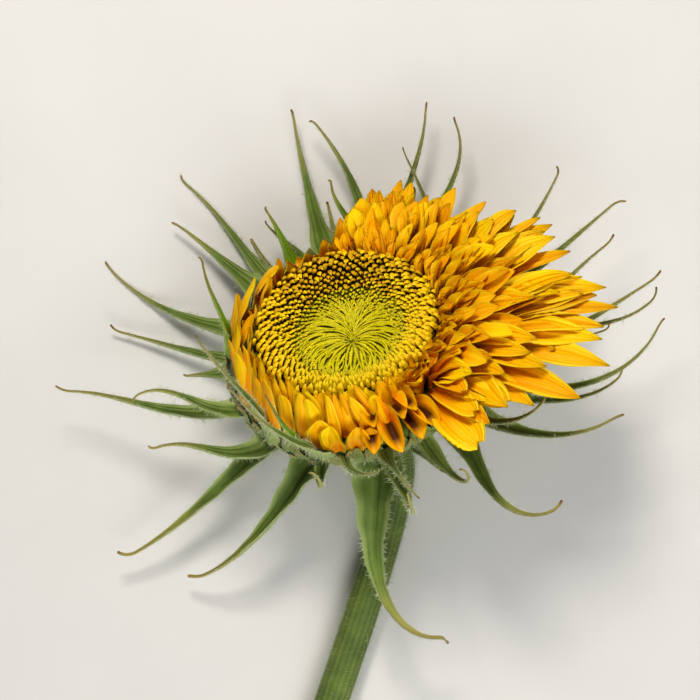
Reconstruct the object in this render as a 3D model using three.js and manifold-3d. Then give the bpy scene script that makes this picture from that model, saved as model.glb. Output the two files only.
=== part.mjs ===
// A cut double sunflower: one half-open bloom on a hairy stem, lying on a level surface.
// The stem lies along the surface, the neck bends up from it, and the bloom looks up and away from the stem.
// Millimetres and degrees. +Z is up from the surface, and the stem's cut end points roughly along -Y.
import * as THREE from "three";
import { mergeVertices } from "three/addons/utils/BufferGeometryUtils.js";
import Module from "manifold-3d";

// The head: its axis points out of the bloom's face, and its centre is the middle of the disc of florets.
const HEAD_AXIS = new THREE.Vector3(-0.2, 0.6, 0.777).normalize();
const HEAD_HEIGHT = 48.5; // the disc's centre, above the surface

// The disc of florets, dished in the middle.
const DISC_RADIUS = 33.5;
const DISC_DISH = 7;
const DISC_CROWN = 3; // the raised ring near the disc's rim
const DISC_FOOT = -16;

// The receptacle: the green cup behind the florets.
const CUP_RADIUS = 45;
const CUP_RIM = -9; // height of the ledge that the rays stand on
const CUP_DEPTH = 43; // from the disc's level back to the neck
const NECK_RADIUS = 7.4;

// The stem.
const STEM_RADIUS = 6.25;
const STEM_TOP_RADIUS = 7;
const STEM_SIDES = 12;
const STEM_STEPS = 16;

// The rays stand on the cup's ledge between these radii.
const RAY_FOOT_INNER = DISC_RADIUS + 1;
const RAY_FOOT_OUTER = CUP_RADIUS - 1.5;
const RAY_NOTCH = 0.88; // how far the notch between two ray tips reaches, as a share of the tips' reach
const RAY_PITCH = 3; // degrees from a tip to the notch beside it
const RAY_THICKNESS = 1.6;

// The bracts: narrow green blades, in rows from the cup's rim (row 0) back to the neck (row 4).
const BRACT_ROWS = [
  { radius: 44.5, height: -7.2 },
  { radius: 46, height: -11.5 },
  { radius: 45, height: -17 },
  { radius: 38.5, height: -25.5 },
  { radius: 28.5, height: -34 },
];
const BRACT_THICKNESS = 1.5;
const BRACT_STEPS = 12;
const BRACT_TIP_SHARE = 0.05; // width at the tip, as a share of the full width
const FLOOR_SOFTNESS = 2; // how gently a bract flattens out where it meets the surface
const GAP = 0.35; // between neighbouring solids

const GREEN = 0x6e8b3a;
const PALE_GREEN = 0x8fae4a;
const LIME = 0x8fb800;
const GOLD = 0xf5b400;
const DISC_YELLOW = 0xc9b818;

const AXIS_X = new THREE.Vector3(1, 0, 0).addScaledVector(HEAD_AXIS, -HEAD_AXIS.x).normalize();
const AXIS_Y = new THREE.Vector3().crossVectors(HEAD_AXIS, AXIS_X);
const HEAD_CENTRE = new THREE.Vector3(0, 0, HEAD_HEIGHT);
const HEAD_MATRIX = new THREE.Matrix4().makeBasis(AXIS_X, AXIS_Y, HEAD_AXIS).setPosition(HEAD_CENTRE);

const wasm = await Module();
wasm.setup();

const radians = THREE.MathUtils.degToRad;
const lerp = THREE.MathUtils.lerp;

// A direction in the head: azimuth round the head's axis from AXIS_X, and rise above the disc's plane.
function headDirection(azimuth, rise) {
  const a = radians(azimuth);
  const e = radians(rise);
  return new THREE.Vector3()
    .addScaledVector(AXIS_X, Math.cos(e) * Math.cos(a))
    .addScaledVector(AXIS_Y, Math.cos(e) * Math.sin(a))
    .addScaledVector(HEAD_AXIS, Math.sin(e));
}

// A point of the head at a radius from its axis, an azimuth, and a height along the axis.
function headPoint(radius, azimuth, height) {
  return HEAD_CENTRE.clone()
    .addScaledVector(headDirection(azimuth, 0), radius)
    .addScaledVector(HEAD_AXIS, height);
}

// A closed body through rings of equal point counts, each ring anticlockwise seen from the last one.
// Its two ends are closed by triangles that fan out from each end ring's first point.
function loft(rings) {
  const count = rings[0].length;
  const positions = rings.flat().flatMap((p) => [p.x, p.y, p.z]);
  const index = [];
  for (let i = 0; i + 1 < rings.length; i++) {
    for (let j = 0; j < count; j++) {
      const a = i * count + j;
      const b = i * count + ((j + 1) % count);
      index.push(a, b, b + count, a, b + count, a + count);
    }
  }
  const last = (rings.length - 1) * count;
  for (let j = 1; j + 1 < count; j++) {
    index.push(j + 1, j, 0, last, last + j, last + j + 1);
  }
  const geometry = new THREE.BufferGeometry();
  geometry.setAttribute("position", new THREE.Float32BufferAttribute(positions, 3));
  geometry.setIndex(index);
  return geometry;
}

// A body of revolution about the head's axis, from a profile of [radius, height] pairs listed from the back to the front.
function headLathe(profile, sides) {
  const geometry = new THREE.LatheGeometry(profile.map(([r, h]) => new THREE.Vector2(r, h)), sides);
  return geometry.rotateX(Math.PI / 2).applyMatrix4(HEAD_MATRIX);
}

// A closed geometry as a solid that can be joined or cut.
function solidOf(geometry) {
  const bare = geometry.clone();
  bare.deleteAttribute("normal");
  bare.deleteAttribute("uv");
  const merged = mergeVertices(bare, 1e-4);
  return new wasm.Manifold(
    new wasm.Mesh({
      numProp: 3,
      vertProperties: new Float32Array(merged.attributes.position.array),
      triVerts: new Uint32Array(merged.index.array),
    }),
  );
}

// The largest piece of a solid, as a geometry.
function geometryOf(solid) {
  const largest = solid.decompose().reduce((a, b) => (b.volume() > a.volume() ? b : a));
  const mesh = largest.getMesh();
  const geometry = new THREE.BufferGeometry();
  geometry.setAttribute("position", new THREE.BufferAttribute(new Float32Array(mesh.vertProperties), 3));
  geometry.setIndex(new THREE.BufferAttribute(new Uint32Array(mesh.triVerts), 1));
  return geometry;
}

const root = new THREE.Group();
const plant = new THREE.Group();
root.add(plant);

function addPiece(name, geometry, colour, roughness) {
  const flat = geometry.toNonIndexed();
  flat.computeVertexNormals();
  const material = new THREE.MeshStandardMaterial({ color: colour, roughness, metalness: 0 });
  const mesh = new THREE.Mesh(flat, material);
  mesh.name = name;
  plant.add(mesh);
}

// ---- Disc of florets -------------------------------------------------------------------------------------------
const discProfile = [
  [0, DISC_FOOT],
  [DISC_RADIUS - 1.5, DISC_FOOT],
  [DISC_RADIUS, CUP_RIM + 1],
  [DISC_RADIUS, DISC_CROWN - 3.5],
  [DISC_RADIUS - 3, DISC_CROWN],
  [DISC_RADIUS - 8, DISC_CROWN - 1],
  [DISC_RADIUS - 15, DISC_CROWN - 6],
  [DISC_RADIUS - 24, -DISC_DISH],
  [0, -DISC_DISH],
];
addPiece("floret_disc", headLathe(discProfile, 36), DISC_YELLOW, 0.6);

// ---- Receptacle ------------------------------------------------------------------------------------------------
const cupProfile = (grow) => [
  [0, -CUP_DEPTH - grow],
  [NECK_RADIUS + grow, -CUP_DEPTH - grow],
  [NECK_RADIUS + 5 + grow, -CUP_DEPTH + 3 - grow],
  [CUP_RADIUS - 19 + grow, -CUP_DEPTH + 8 - grow],
  [CUP_RADIUS - 8 + grow, -CUP_DEPTH + 17 - grow],
  [CUP_RADIUS - 1.5 + grow, -CUP_DEPTH + 25],
  [CUP_RADIUS + grow, CUP_RIM - 3],
  [CUP_RADIUS - 1 + grow, CUP_RIM + grow],
  [DISC_RADIUS + GAP, CUP_RIM + grow],
  [DISC_RADIUS - 1, DISC_FOOT - GAP],
  [0, DISC_FOOT - GAP],
];
addPiece("receptacle", headLathe(cupProfile(0), 36), GREEN, 0.75);

// ---- Stem ------------------------------------------------------------------------------------------------------
// The neck leaves the cup along the head's axis and bends onto the surface. The stem then runs on, nearly straight.
const stemHeight = STEM_RADIUS * Math.cos(Math.PI / STEM_SIDES);
const neckTop = headPoint(0, 0, -CUP_DEPTH - GAP);
const neckEnd = new THREE.Vector3(18, -52, stemHeight);
const stemEnd = new THREE.Vector3(-14, -158.7, stemHeight);
const stemPath = new THREE.CurvePath();
stemPath.add(
  new THREE.CubicBezierCurve3(
    neckTop,
    neckTop.clone().addScaledVector(HEAD_AXIS, -8),
    neckEnd.clone().add(new THREE.Vector3(0.5, 10, 0)),
    neckEnd,
  ),
);
stemPath.add(
  new THREE.CubicBezierCurve3(
    neckEnd,
    neckEnd.clone().add(new THREE.Vector3(-1.1, -22, 0)),
    stemEnd.clone().add(new THREE.Vector3(11, 33.4, 0)),
    stemEnd,
  ),
);

function stemRing(t) {
  const centre = stemPath.getPointAt(t);
  const along = stemPath.getTangentAt(t);
  const side = new THREE.Vector3(1, 0, 0).addScaledVector(along, -along.x).normalize();
  const up = new THREE.Vector3().crossVectors(along, side);
  const radius = lerp(STEM_TOP_RADIUS, STEM_RADIUS, Math.min(1, 4 * t));
  return Array.from({ length: STEM_SIDES }, (_, j) => {
    const a = ((j + 0.5) / STEM_SIDES) * 2 * Math.PI;
    const point = centre.clone().addScaledVector(side, radius * Math.cos(a)).addScaledVector(up, radius * Math.sin(a));
    point.z = Math.max(point.z, 0);
    return point;
  });
}
const stemRings = Array.from({ length: STEM_STEPS + 1 }, (_, i) => stemRing(i / STEM_STEPS));
addPiece("stem", loft(stemRings), PALE_GREEN, 0.7);

// ---- Bracts ----------------------------------------------------------------------------------------------------
// One bract leaves the cup at an azimuth in its row. Its rise above the disc's plane and its swing round the head
// are given at the base, halfway and at the tip (the swing starts at nought), and change smoothly in between.
const bract = (azimuth, row, length, width, rise, swing) => ({ azimuth, row, length, width, rise, swing });
const bracts = [
  // right side, the open side of the bloom
  bract(343, 1, 50, 7, [5, 10, 10], [25, 20]),
  bract(354, 2, 70, 10, [-5, 10, 15], [25, 25]),
  bract(5, 3, 68, 10, [5, 10, 15], [35, 15]),
  bract(9, 2, 68, 9, [-10, 0, 10], [-15, 45]),
  bract(20, 2, 67, 10, [5, 15, 20], [10, 5]),
  bract(27, 1, 56, 8, [5, 25, 30], [15, 25]),
  bract(30, 4, 54, 16, [-25, -25, -15], [0, 5]),
  bract(48, 3, 42, 12, [-10, -10, 0], [0, 5]),
  bract(335, 1, 79, 9, [-5, 0, 20], [35, 95]),
  bract(340, 3, 62, 10, [5, -5, 10], [15, 70]),
  bract(319, 1, 41, 9, [-5, 15, 35], [25, 90]),
  bract(324, 2, 60, 12, [-15, -5, 15], [25, 65]),
  bract(319, 3, 62, 16, [-15, -10, 10], [-20, 85]),
  // far side, low against the surface
  bract(55, 1, 42, 5, [30, 40, 40], [50, 55]),
  bract(65, 2, 58, 8, [25, 35, 40], [-20, 60]),
  bract(75, 2, 59, 9, [30, 40, 35], [-20, 10]),
  bract(70, 3, 38, 13, [25, 35, 30], [0, 0]),
  bract(84, 1, 53, 10, [35, 45, 35], [30, 50]),
  bract(87, 0, 29, 7, [70, 65, 65], [50, -35]),
  bract(103, 1, 55, 12, [30, 40, 30], [-5, -10]),
  bract(98, 3, 34, 13, [20, 35, 30], [0, 0]),
  bract(114, 1, 22, 5, [50, 50, 50], [40, 15]),
  bract(119, 0, 25, 7, [60, 60, 70], [0, 25]),
  bract(125, 3, 34, 13, [15, 30, 30], [0, -10]),
  bract(130, 2, 59, 9, [10, 25, 25], [-5, 15]),
  // left side
  bract(138, 1, 43, 12, [5, 25, 25], [0, 10]),
  bract(157, 2, 64, 10, [-5, 5, 20], [-10, -30]),
  bract(165, 3, 60, 10, [-10, 10, 20], [-5, 5]),
  bract(177, 0, 50, 6, [105, 85, 70], [-40, -120]),
  bract(180, 2, 18, 11, [0, 10, 10], [0, 10]),
  bract(199, 2, 70, 11, [0, 5, 0], [-40, -20]),
  bract(207, 1, 41, 9, [20, 20, 10], [-50, 35]),
  bract(203, 4, 84, 19, [-25, -20, -20], [5, -15]),
  bract(226, 2, 47, 12, [0, 0, 0], [-70, -10]),
  bract(231, 1, 56, 8, [90, 70, 25], [-70, -105]),
  // near side, under the wall of closed rays
  bract(234, 4, 77, 19, [-20, -35, -30], [-30, -70]),
  bract(249, 0, 27, 5, [60, 60, 45], [-110, -120]),
  bract(258, 1, 52, 8, [65, 50, 25], [-90, -130]),
  bract(254, 2, 22, 7, [-20, 40, 190], [30, 80]),
  bract(266, 1, 20, 6, [0, 10, 40], [60, 90]),
  bract(276, 4, 87, 24, [-15, -50, -20], [-5, 135]),
  bract(283, 1, 22, 7, [0, -20, -30], [20, 30]),
  bract(284, 2, 40, 9, [-20, 10, 150], [5, -10]),
  bract(301, 2, 34, 9, [-20, 0, 140], [10, 30]),
  bract(303, 4, 18, 16, [-25, -35, -20], [10, 20]),
];

// A quadratic through three values at the start, the middle and the end.
function through(start, middle, end, t) {
  return start * (1 - t) * (1 - 2 * t) + middle * 4 * t * (1 - t) + end * t * (2 * t - 1);
}

// Broad at the base, then a long narrow tail.
function bractWidth(b, t) {
  const tail = 0.84 * (1 - t) ** 1.7 + 0.16 * Math.sqrt(1 - t);
  return b.width * Math.max(BRACT_TIP_SHARE, tail) * Math.min(1, 0.7 + 2.5 * t);
}

// The height above the surface after a bract rests on it: a smooth maximum of the height and the rest height.
function restOnSurface(height, rest) {
  const above = height - rest;
  return rest + 0.5 * (above + Math.hypot(above, FLOOR_SOFTNESS));
}

// A bract's solid, with a four-sided section, made thicker all round by grow.
function bractGeometry(b, grow) {
  const row = BRACT_ROWS[b.row];
  const step = b.length / BRACT_STEPS;
  const point = headPoint(row.radius, b.azimuth, row.height);
  const stations = [];
  for (let i = 0; i <= BRACT_STEPS; i++) {
    const t = i / BRACT_STEPS;
    const heading = b.azimuth + through(0, b.swing[0], b.swing[1], t);
    const across = headDirection(heading + 90, 0);
    const half = bractWidth(b, t) / 2;
    const thick = (BRACT_THICKNESS / 2) * lerp(1, 0.45, t);
    const centre = point.clone();
    centre.z = restOnSurface(centre.z, thick + Math.abs(across.z) * half);
    stations.push({ centre, across, half, thick });
    const mid = Math.min(1, t + 0.5 / BRACT_STEPS);
    const midHeading = b.azimuth + through(0, b.swing[0], b.swing[1], mid);
    point.addScaledVector(headDirection(midHeading, through(...b.rise, mid)), step);
  }
  const rings = stations.map((s, i) => {
    const before = stations[Math.max(0, i - 1)].centre;
    const after = stations[Math.min(BRACT_STEPS, i + 1)].centre;
    const along = after.clone().sub(before).normalize();
    const across = s.across.clone().addScaledVector(along, -s.across.dot(along)).normalize();
    const up = new THREE.Vector3().crossVectors(along, across);
    const end = i === 0 ? -grow : i === BRACT_STEPS ? grow : 0;
    const centre = s.centre.clone().addScaledVector(along, end);
    return [
      centre.clone().addScaledVector(across, s.half + grow),
      centre.clone().addScaledVector(up, s.thick + grow),
      centre.clone().addScaledVector(across, -s.half - grow),
      centre.clone().addScaledVector(up, -s.thick - grow),
    ];
  });
  return loft(rings);
}

// ---- Rays ------------------------------------------------------------------------------------------------------
// The crown is where the inner rays stand highest, and the reach is where the outer rays' tips end.
const ray = (azimuth, crownRadius, crownHeight, reachRadius, reachHeight) => ({
  azimuth,
  values: [crownRadius, crownHeight, reachRadius, reachHeight],
});
const rayKeys = [
  ray(-80, 42, 10, 52, 0),
  ray(-60, 44, 11, 65, 0),
  ray(-45, 48, 12, 71, 3),
  ray(-30, 52, 13, 74, 4),
  ray(-20, 56, 14, 92, 4),
  ray(-6, 58, 15, 94, 6),
  ray(10, 56, 15, 83, 8),
  ray(24, 54, 15, 77, 9),
  ray(35, 52, 15, 65, 10),
  ray(58, 48, 15, 58, 11),
  ray(72, 45, 15, 63, 11),
  ray(82, 43, 13, 50, 11),
  ray(95, 41, 11, 45.5, 2),
  ray(140, 41, 11, 45, 1),
  ray(170, 41, 14, 45, 1),
  ray(255, 41, 14, 45, 1),
  ray(280, 42, 10, 52, 0),
];

function rayValues(azimuth) {
  const next = rayKeys.findIndex((k) => k.azimuth > azimuth);
  const b = rayKeys[next < 0 ? rayKeys.length - 1 : Math.max(1, next)];
  const a = rayKeys[rayKeys.indexOf(b) - 1];
  const t = THREE.MathUtils.smoothstep(azimuth, a.azimuth, b.azimuth);
  return a.values.map((value, i) => lerp(value, b.values[i], t));
}

const rayMasses = {
  rays_lower_right: [-79, -43],
  rays_right_near: [-42, -19],
  rays_right: [-18, 5],
  rays_right_far: [6, 30],
  rays_far_right: [31, 56],
  rays_far: [57, 84],
  rays_far_left: [87, 140],
  rays_left: [141, 196],
  rays_near_left: [197, 240],
  rays_near: [241, 280],
};

// A wedge of rays between two azimuths. Its section stands on the cup's ledge, and its outer edge is toothed.
function rayGeometry([start, end]) {
  const steps = 2 * Math.round((end - start) / (2 * RAY_PITCH));
  const sections = [];
  for (let i = 0; i <= steps; i++) {
    const azimuth = lerp(start, end, i / steps);
    const [crownRadius, crownHeight, reachRadius, reachHeight] = rayValues(azimuth);
    const share = i % 2 ? 1 : RAY_NOTCH;
    const tip = lerp(RAY_FOOT_OUTER, reachRadius, share);
    sections.push({
      azimuth,
      outline: [
        [RAY_FOOT_INNER, CUP_RIM + GAP],
        [RAY_FOOT_INNER + 0.5, 4],
        [crownRadius, crownHeight * share],
        [tip, reachHeight + RAY_THICKNESS / 2],
        [tip, reachHeight - RAY_THICKNESS / 2],
        [RAY_FOOT_OUTER, CUP_RIM + GAP],
      ],
    });
  }
  const rings = sections.map((s) => s.outline.map(([radius, height]) => headPoint(radius, s.azimuth, height)));
  return loft(rings);
}

// ---- Fitting the pieces to each other --------------------------------------------------------------------------
// Each bract is cut clear of the cup and of the bracts before it, and the rays are cut clear of the bracts.
const cupGrown = solidOf(headLathe(cupProfile(GAP), 36));
const grownBracts = [];
bracts.forEach((b, i) => {
  let solid = solidOf(bractGeometry(b, 0)).subtract(cupGrown);
  for (const other of grownBracts) {
    solid = solid.subtract(other);
  }
  grownBracts.push(solidOf(bractGeometry(b, GAP)));
  const colour = b.row === 0 ? LIME : GREEN;
  addPiece(`bract_${String(i + 1).padStart(2, "0")}`, geometryOf(solid), colour, 0.8);
});

for (const [name, span] of Object.entries(rayMasses)) {
  let solid = solidOf(rayGeometry(span));
  for (const other of grownBracts) {
    solid = solid.subtract(other);
  }
  addPiece(name, geometryOf(solid), GOLD, 0.6);
}

// The part's origin is the middle of its footprint, on the surface.
const box = new THREE.Box3().setFromObject(plant);
const middle = box.getCenter(new THREE.Vector3());
plant.position.set(-middle.x, -middle.y, -box.min.z);

export default root;
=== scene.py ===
"""A cut double sunflower lying on a level surface: one half-open bloom on a hairy stem.

Lengths are in millimetres and angles in degrees until a mesh is written, which turns them to metres.
The head has its own frame: azimuth runs round the bloom's axis, and height is measured along it from
the middle of the disc of florets.
"""

import logging
import math
from dataclasses import dataclass, field
from enum import IntEnum
from typing import Any

import bpy
import numpy as np
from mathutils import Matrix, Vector

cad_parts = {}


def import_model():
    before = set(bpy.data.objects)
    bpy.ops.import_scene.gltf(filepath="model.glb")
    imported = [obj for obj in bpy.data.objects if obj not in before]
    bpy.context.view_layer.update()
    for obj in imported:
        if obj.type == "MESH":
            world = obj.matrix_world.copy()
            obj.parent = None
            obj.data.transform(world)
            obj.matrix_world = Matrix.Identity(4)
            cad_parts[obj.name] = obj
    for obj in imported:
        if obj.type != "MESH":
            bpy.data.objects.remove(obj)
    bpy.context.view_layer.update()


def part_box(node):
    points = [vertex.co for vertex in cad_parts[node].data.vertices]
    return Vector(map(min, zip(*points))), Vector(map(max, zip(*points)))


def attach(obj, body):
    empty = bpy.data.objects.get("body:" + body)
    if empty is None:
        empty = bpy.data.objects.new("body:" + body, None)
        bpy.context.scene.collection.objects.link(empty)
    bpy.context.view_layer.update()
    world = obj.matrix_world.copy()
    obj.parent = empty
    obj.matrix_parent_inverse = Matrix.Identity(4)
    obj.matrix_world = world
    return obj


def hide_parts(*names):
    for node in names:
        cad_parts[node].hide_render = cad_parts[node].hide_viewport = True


Array = np.ndarray

LOG = logging.getLogger("sunflower")
BODY = "root"
MM = 0.001
GOLDEN_ANGLE = 180.0 * (3.0 - math.sqrt(5.0))
SHARP_EDGE = math.radians(75.0)  # edges that bend more than this are not smoothed over
FLOOR_GAP = 0.02  # the least height of anything above the surface
UV_MAP = "Surface"
ANY_PHASE = (0.0, 6.28)  # where a wave may start

# The head's axis, and the outline of the disc of florets as (radius, height) pairs.
HEAD_AXIS = (-0.2, 0.6, 0.777)
DISC_PROFILE = (
    (0, -16), (32, -16), (33.5, -8), (33.5, -0.5), (30.5, 3), (25.5, 2), (18.5, -3), (9.5, -7), (0, -7),
)
DISC_RADIUS = 33.5

# The cup behind the florets, from the neck forwards, and the radius and height of each row of bracts on it.
CUP_PROFILE = (
    (7.4, -43), (12.4, -40), (26, -35), (37, -26), (43.5, -18), (45, -12), (44, -9), (34, -9), (32.4, -16.4),
)
CUP_RIM = 6  # the outline's corner at the rim
SCALE_REACH = (45.4, -4.5)  # the radius and height that the highest scales stand up to
BRACT_ROWS = ((44.5, -7.2), (46, -11.5), (45, -17), (38.5, -25.5), (28.5, -34))

# How far the rays stand up and out: azimuth, then the crown's radius and height, then the reach's.
RAY_KEYS = (
    (-80, 42, 10, 52, 0),
    (-60, 44, 11, 65, 0),
    (-45, 48, 12, 71, 3),
    (-30, 52, 13, 74, 4),
    (-20, 56, 14, 92, 4),
    (-6, 58, 15, 94, 6),
    (10, 56, 15, 83, 8),
    (24, 54, 15, 77, 9),
    (35, 52, 15, 61, 10),
    (58, 48, 15, 54, 11),
    (72, 45, 15, 56, 11),
    (82, 43, 13, 48, 11),
    (95, 41, 11, 45.5, 2),
)

# Azimuth, row, length, width, then the rise at the base, middle and tip, and the swing at the middle and tip.
BRACTS = (
    (343, 1, 50, 7, 5, 10, 10, 25, 20),
    (354, 2, 70, 10, -5, 10, 15, 25, 25),
    (5, 3, 68, 10, 5, 10, 15, 35, 15),
    (9, 2, 68, 9, -10, 0, 10, -15, 45),
    (20, 2, 67, 10, 5, 15, 20, 10, 5),
    (27, 1, 56, 8, 5, 25, 30, 15, 25),
    (30, 4, 54, 16, -25, -25, -15, 0, 5),
    (48, 3, 42, 12, -10, -10, 0, 0, 5),
    (335, 1, 79, 9, -5, 0, 20, 35, 95),
    (340, 3, 62, 10, 5, -5, 10, 15, 70),
    (319, 1, 41, 9, -5, 15, 35, 25, 90),
    (324, 2, 60, 12, -15, -5, 15, 25, 65),
    (319, 3, 62, 16, -15, -10, 10, -20, 85),
    (55, 1, 42, 5, 30, 40, 40, 50, 55),
    (65, 2, 58, 8, 25, 35, 40, -20, 60),
    (75, 2, 59, 9, 30, 40, 35, -20, 10),
    (70, 3, 38, 13, 25, 35, 30, 0, 0),
    (84, 1, 53, 10, 35, 45, 35, 30, 50),
    (87, 0, 29, 7, 70, 65, 65, 50, -35),
    (103, 1, 55, 12, 30, 40, 30, -5, -10),
    (98, 3, 34, 13, 20, 35, 30, 0, 0),
    (114, 1, 22, 5, 50, 50, 50, 40, 15),
    (119, 0, 25, 7, 60, 60, 70, 0, 25),
    (125, 3, 34, 13, 15, 30, 30, 0, -10),
    (130, 2, 59, 9, 10, 25, 25, -5, 15),
    (138, 1, 43, 12, 5, 25, 25, 0, 10),
    (157, 2, 64, 10, -5, 5, 20, -10, -30),
    (165, 3, 60, 10, -10, 10, 20, -5, 5),
    (177, 0, 50, 6, 105, 85, 70, -40, -120),
    (180, 2, 18, 11, 0, 10, 10, 0, 10),
    (199, 2, 70, 11, 0, 5, 0, -40, -20),
    (207, 1, 41, 9, 20, 20, 10, -50, 35),
    (203, 4, 84, 19, -25, -20, -20, 5, -15),
    (226, 2, 47, 12, 0, 0, 0, -70, -10),
    (231, 1, 56, 8, 90, 70, 25, -70, -105),
    (234, 4, 77, 19, -20, -35, -30, -30, -70),
    (249, 0, 27, 5, 60, 60, 45, -110, -120),
    (258, 1, 52, 8, 65, 50, 25, -90, -130),
    (254, 2, 22, 7, -20, 40, 190, 30, 80),
    (266, 1, 20, 6, 0, 10, 40, 60, 90),
    (276, 4, 87, 24, -15, -50, -20, -5, 135),
    (283, 1, 22, 7, 0, -20, -30, 20, 30),
    (284, 2, 40, 9, -20, 10, 150, 5, -10),
    (301, 2, 34, 9, -20, 0, 140, 10, 30),
    (303, 4, 18, 16, -25, -35, -20, 10, 20),
)


# ---- Numbers and directions -----------------------------------------------------------------


def unit(vectors: Array) -> Array:
    """Each vector divided by its own length.

    Args:
        vectors: Vectors along the last axis.

    Returns:
        The same directions, one long.
    """
    return vectors / np.maximum(np.linalg.norm(vectors, axis=-1, keepdims=True), 1e-9)


def smooth(value: Array, low: float, high: float) -> Array:
    """Nought below low, one above high, and the cubic 3x^2 - 2x^3 in between."""
    x = np.clip((value - low) / (high - low), 0.0, 1.0)
    return x * x * (3.0 - 2.0 * x)


def through(start: Array, middle: Array, end: Array, t: Array) -> Array:
    """The quadratic that passes through three values at t = 0, a half and 1."""
    return start * (1 - t) * (1 - 2 * t) + 4 * middle * t * (1 - t) + end * t * (2 * t - 1)


def bezier(controls: Array, t: Array) -> Array:
    """Points of cubic curves: the four control points weighed by the Bernstein cubics of t.

    Args:
        controls: Control points, shaped (..., 4, 3).
        t: Parameters from 0 to 1, shaped (rows,).

    Returns:
        Points, shaped (..., rows, 3).
    """
    s = 1 - t
    weights = np.stack([s**3, 3 * s * s * t, 3 * s * t * t, t**3], axis=-1)
    return np.einsum("rk,...kc->...rc", weights, controls)


def frames(path: Array, side: Array) -> tuple[Array, Array, Array]:
    """Directions along a path: its tangent, the side made square to that, and their cross product.

    Args:
        path: Points, shaped (n, rows, 3).
        side: Rough sideways directions, shaped like path or ready to be spread to it.

    Returns:
        The tangent, side and upward directions, each shaped like path.
    """
    along = unit(np.gradient(path, axis=1))
    side = np.broadcast_to(side, path.shape)
    side = unit(side - along * np.sum(side * along, axis=-1, keepdims=True))
    return along, side, np.cross(along, side)


@dataclass
class Head:
    """The bloom's own frame.

    Its axis points out of the bloom's face. Azimuth nought lies as near the row frame's X as it can, and
    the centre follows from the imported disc: a body of revolution with points (r, h) reaches from
    h * n - r * sqrt(1 - n^2) at least to h * n + r * sqrt(1 - n^2) at most along an axis whose share of
    the head's axis is n.
    """

    axis: Array = field(init=False)
    side: Array = field(init=False)
    fore: Array = field(init=False)
    centre: Array = field(init=False)

    def __post_init__(self) -> None:
        """Works out the axes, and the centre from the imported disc's box."""
        self.axis = unit(np.array(HEAD_AXIS))
        x = np.array([1.0, 0.0, 0.0])
        self.side = unit(x - self.axis * (x @ self.axis))
        self.fore = np.cross(self.axis, self.side)
        radius, height = np.array(DISC_PROFILE, float).T
        spread = radius[:, None] * np.sqrt(1 - self.axis**2)
        low = (height[:, None] * self.axis - spread).min(0)
        high = (height[:, None] * self.axis + spread).max(0)
        box = np.array([list(corner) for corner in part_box("floret_disc")]) / MM
        self.centre = (box[0] - low + box[1] - high) / 2

    def direction(self, azimuth: Array, rise: Array) -> Array:
        """Unit vectors at an azimuth round the head and a rise above the disc's plane.

        Args:
            azimuth: Angles round the axis.
            rise: Angles above the disc's plane.

        Returns:
            Vectors along a new last axis.
        """
        a, e = np.broadcast_arrays(np.radians(azimuth), np.radians(rise))
        flat = np.cos(a)[..., None] * self.side + np.sin(a)[..., None] * self.fore
        return np.cos(e)[..., None] * flat + np.sin(e)[..., None] * self.axis

    def point(self, radius: Array, azimuth: Array, height: Array) -> Array:
        """Points at a radius from the axis, an azimuth and a height along the axis."""
        out = self.direction(azimuth, 0.0) * np.asarray(radius, float)[..., None]
        return self.centre + out + np.asarray(height, float)[..., None] * self.axis


# ---- Meshes ---------------------------------------------------------------------------------


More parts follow.
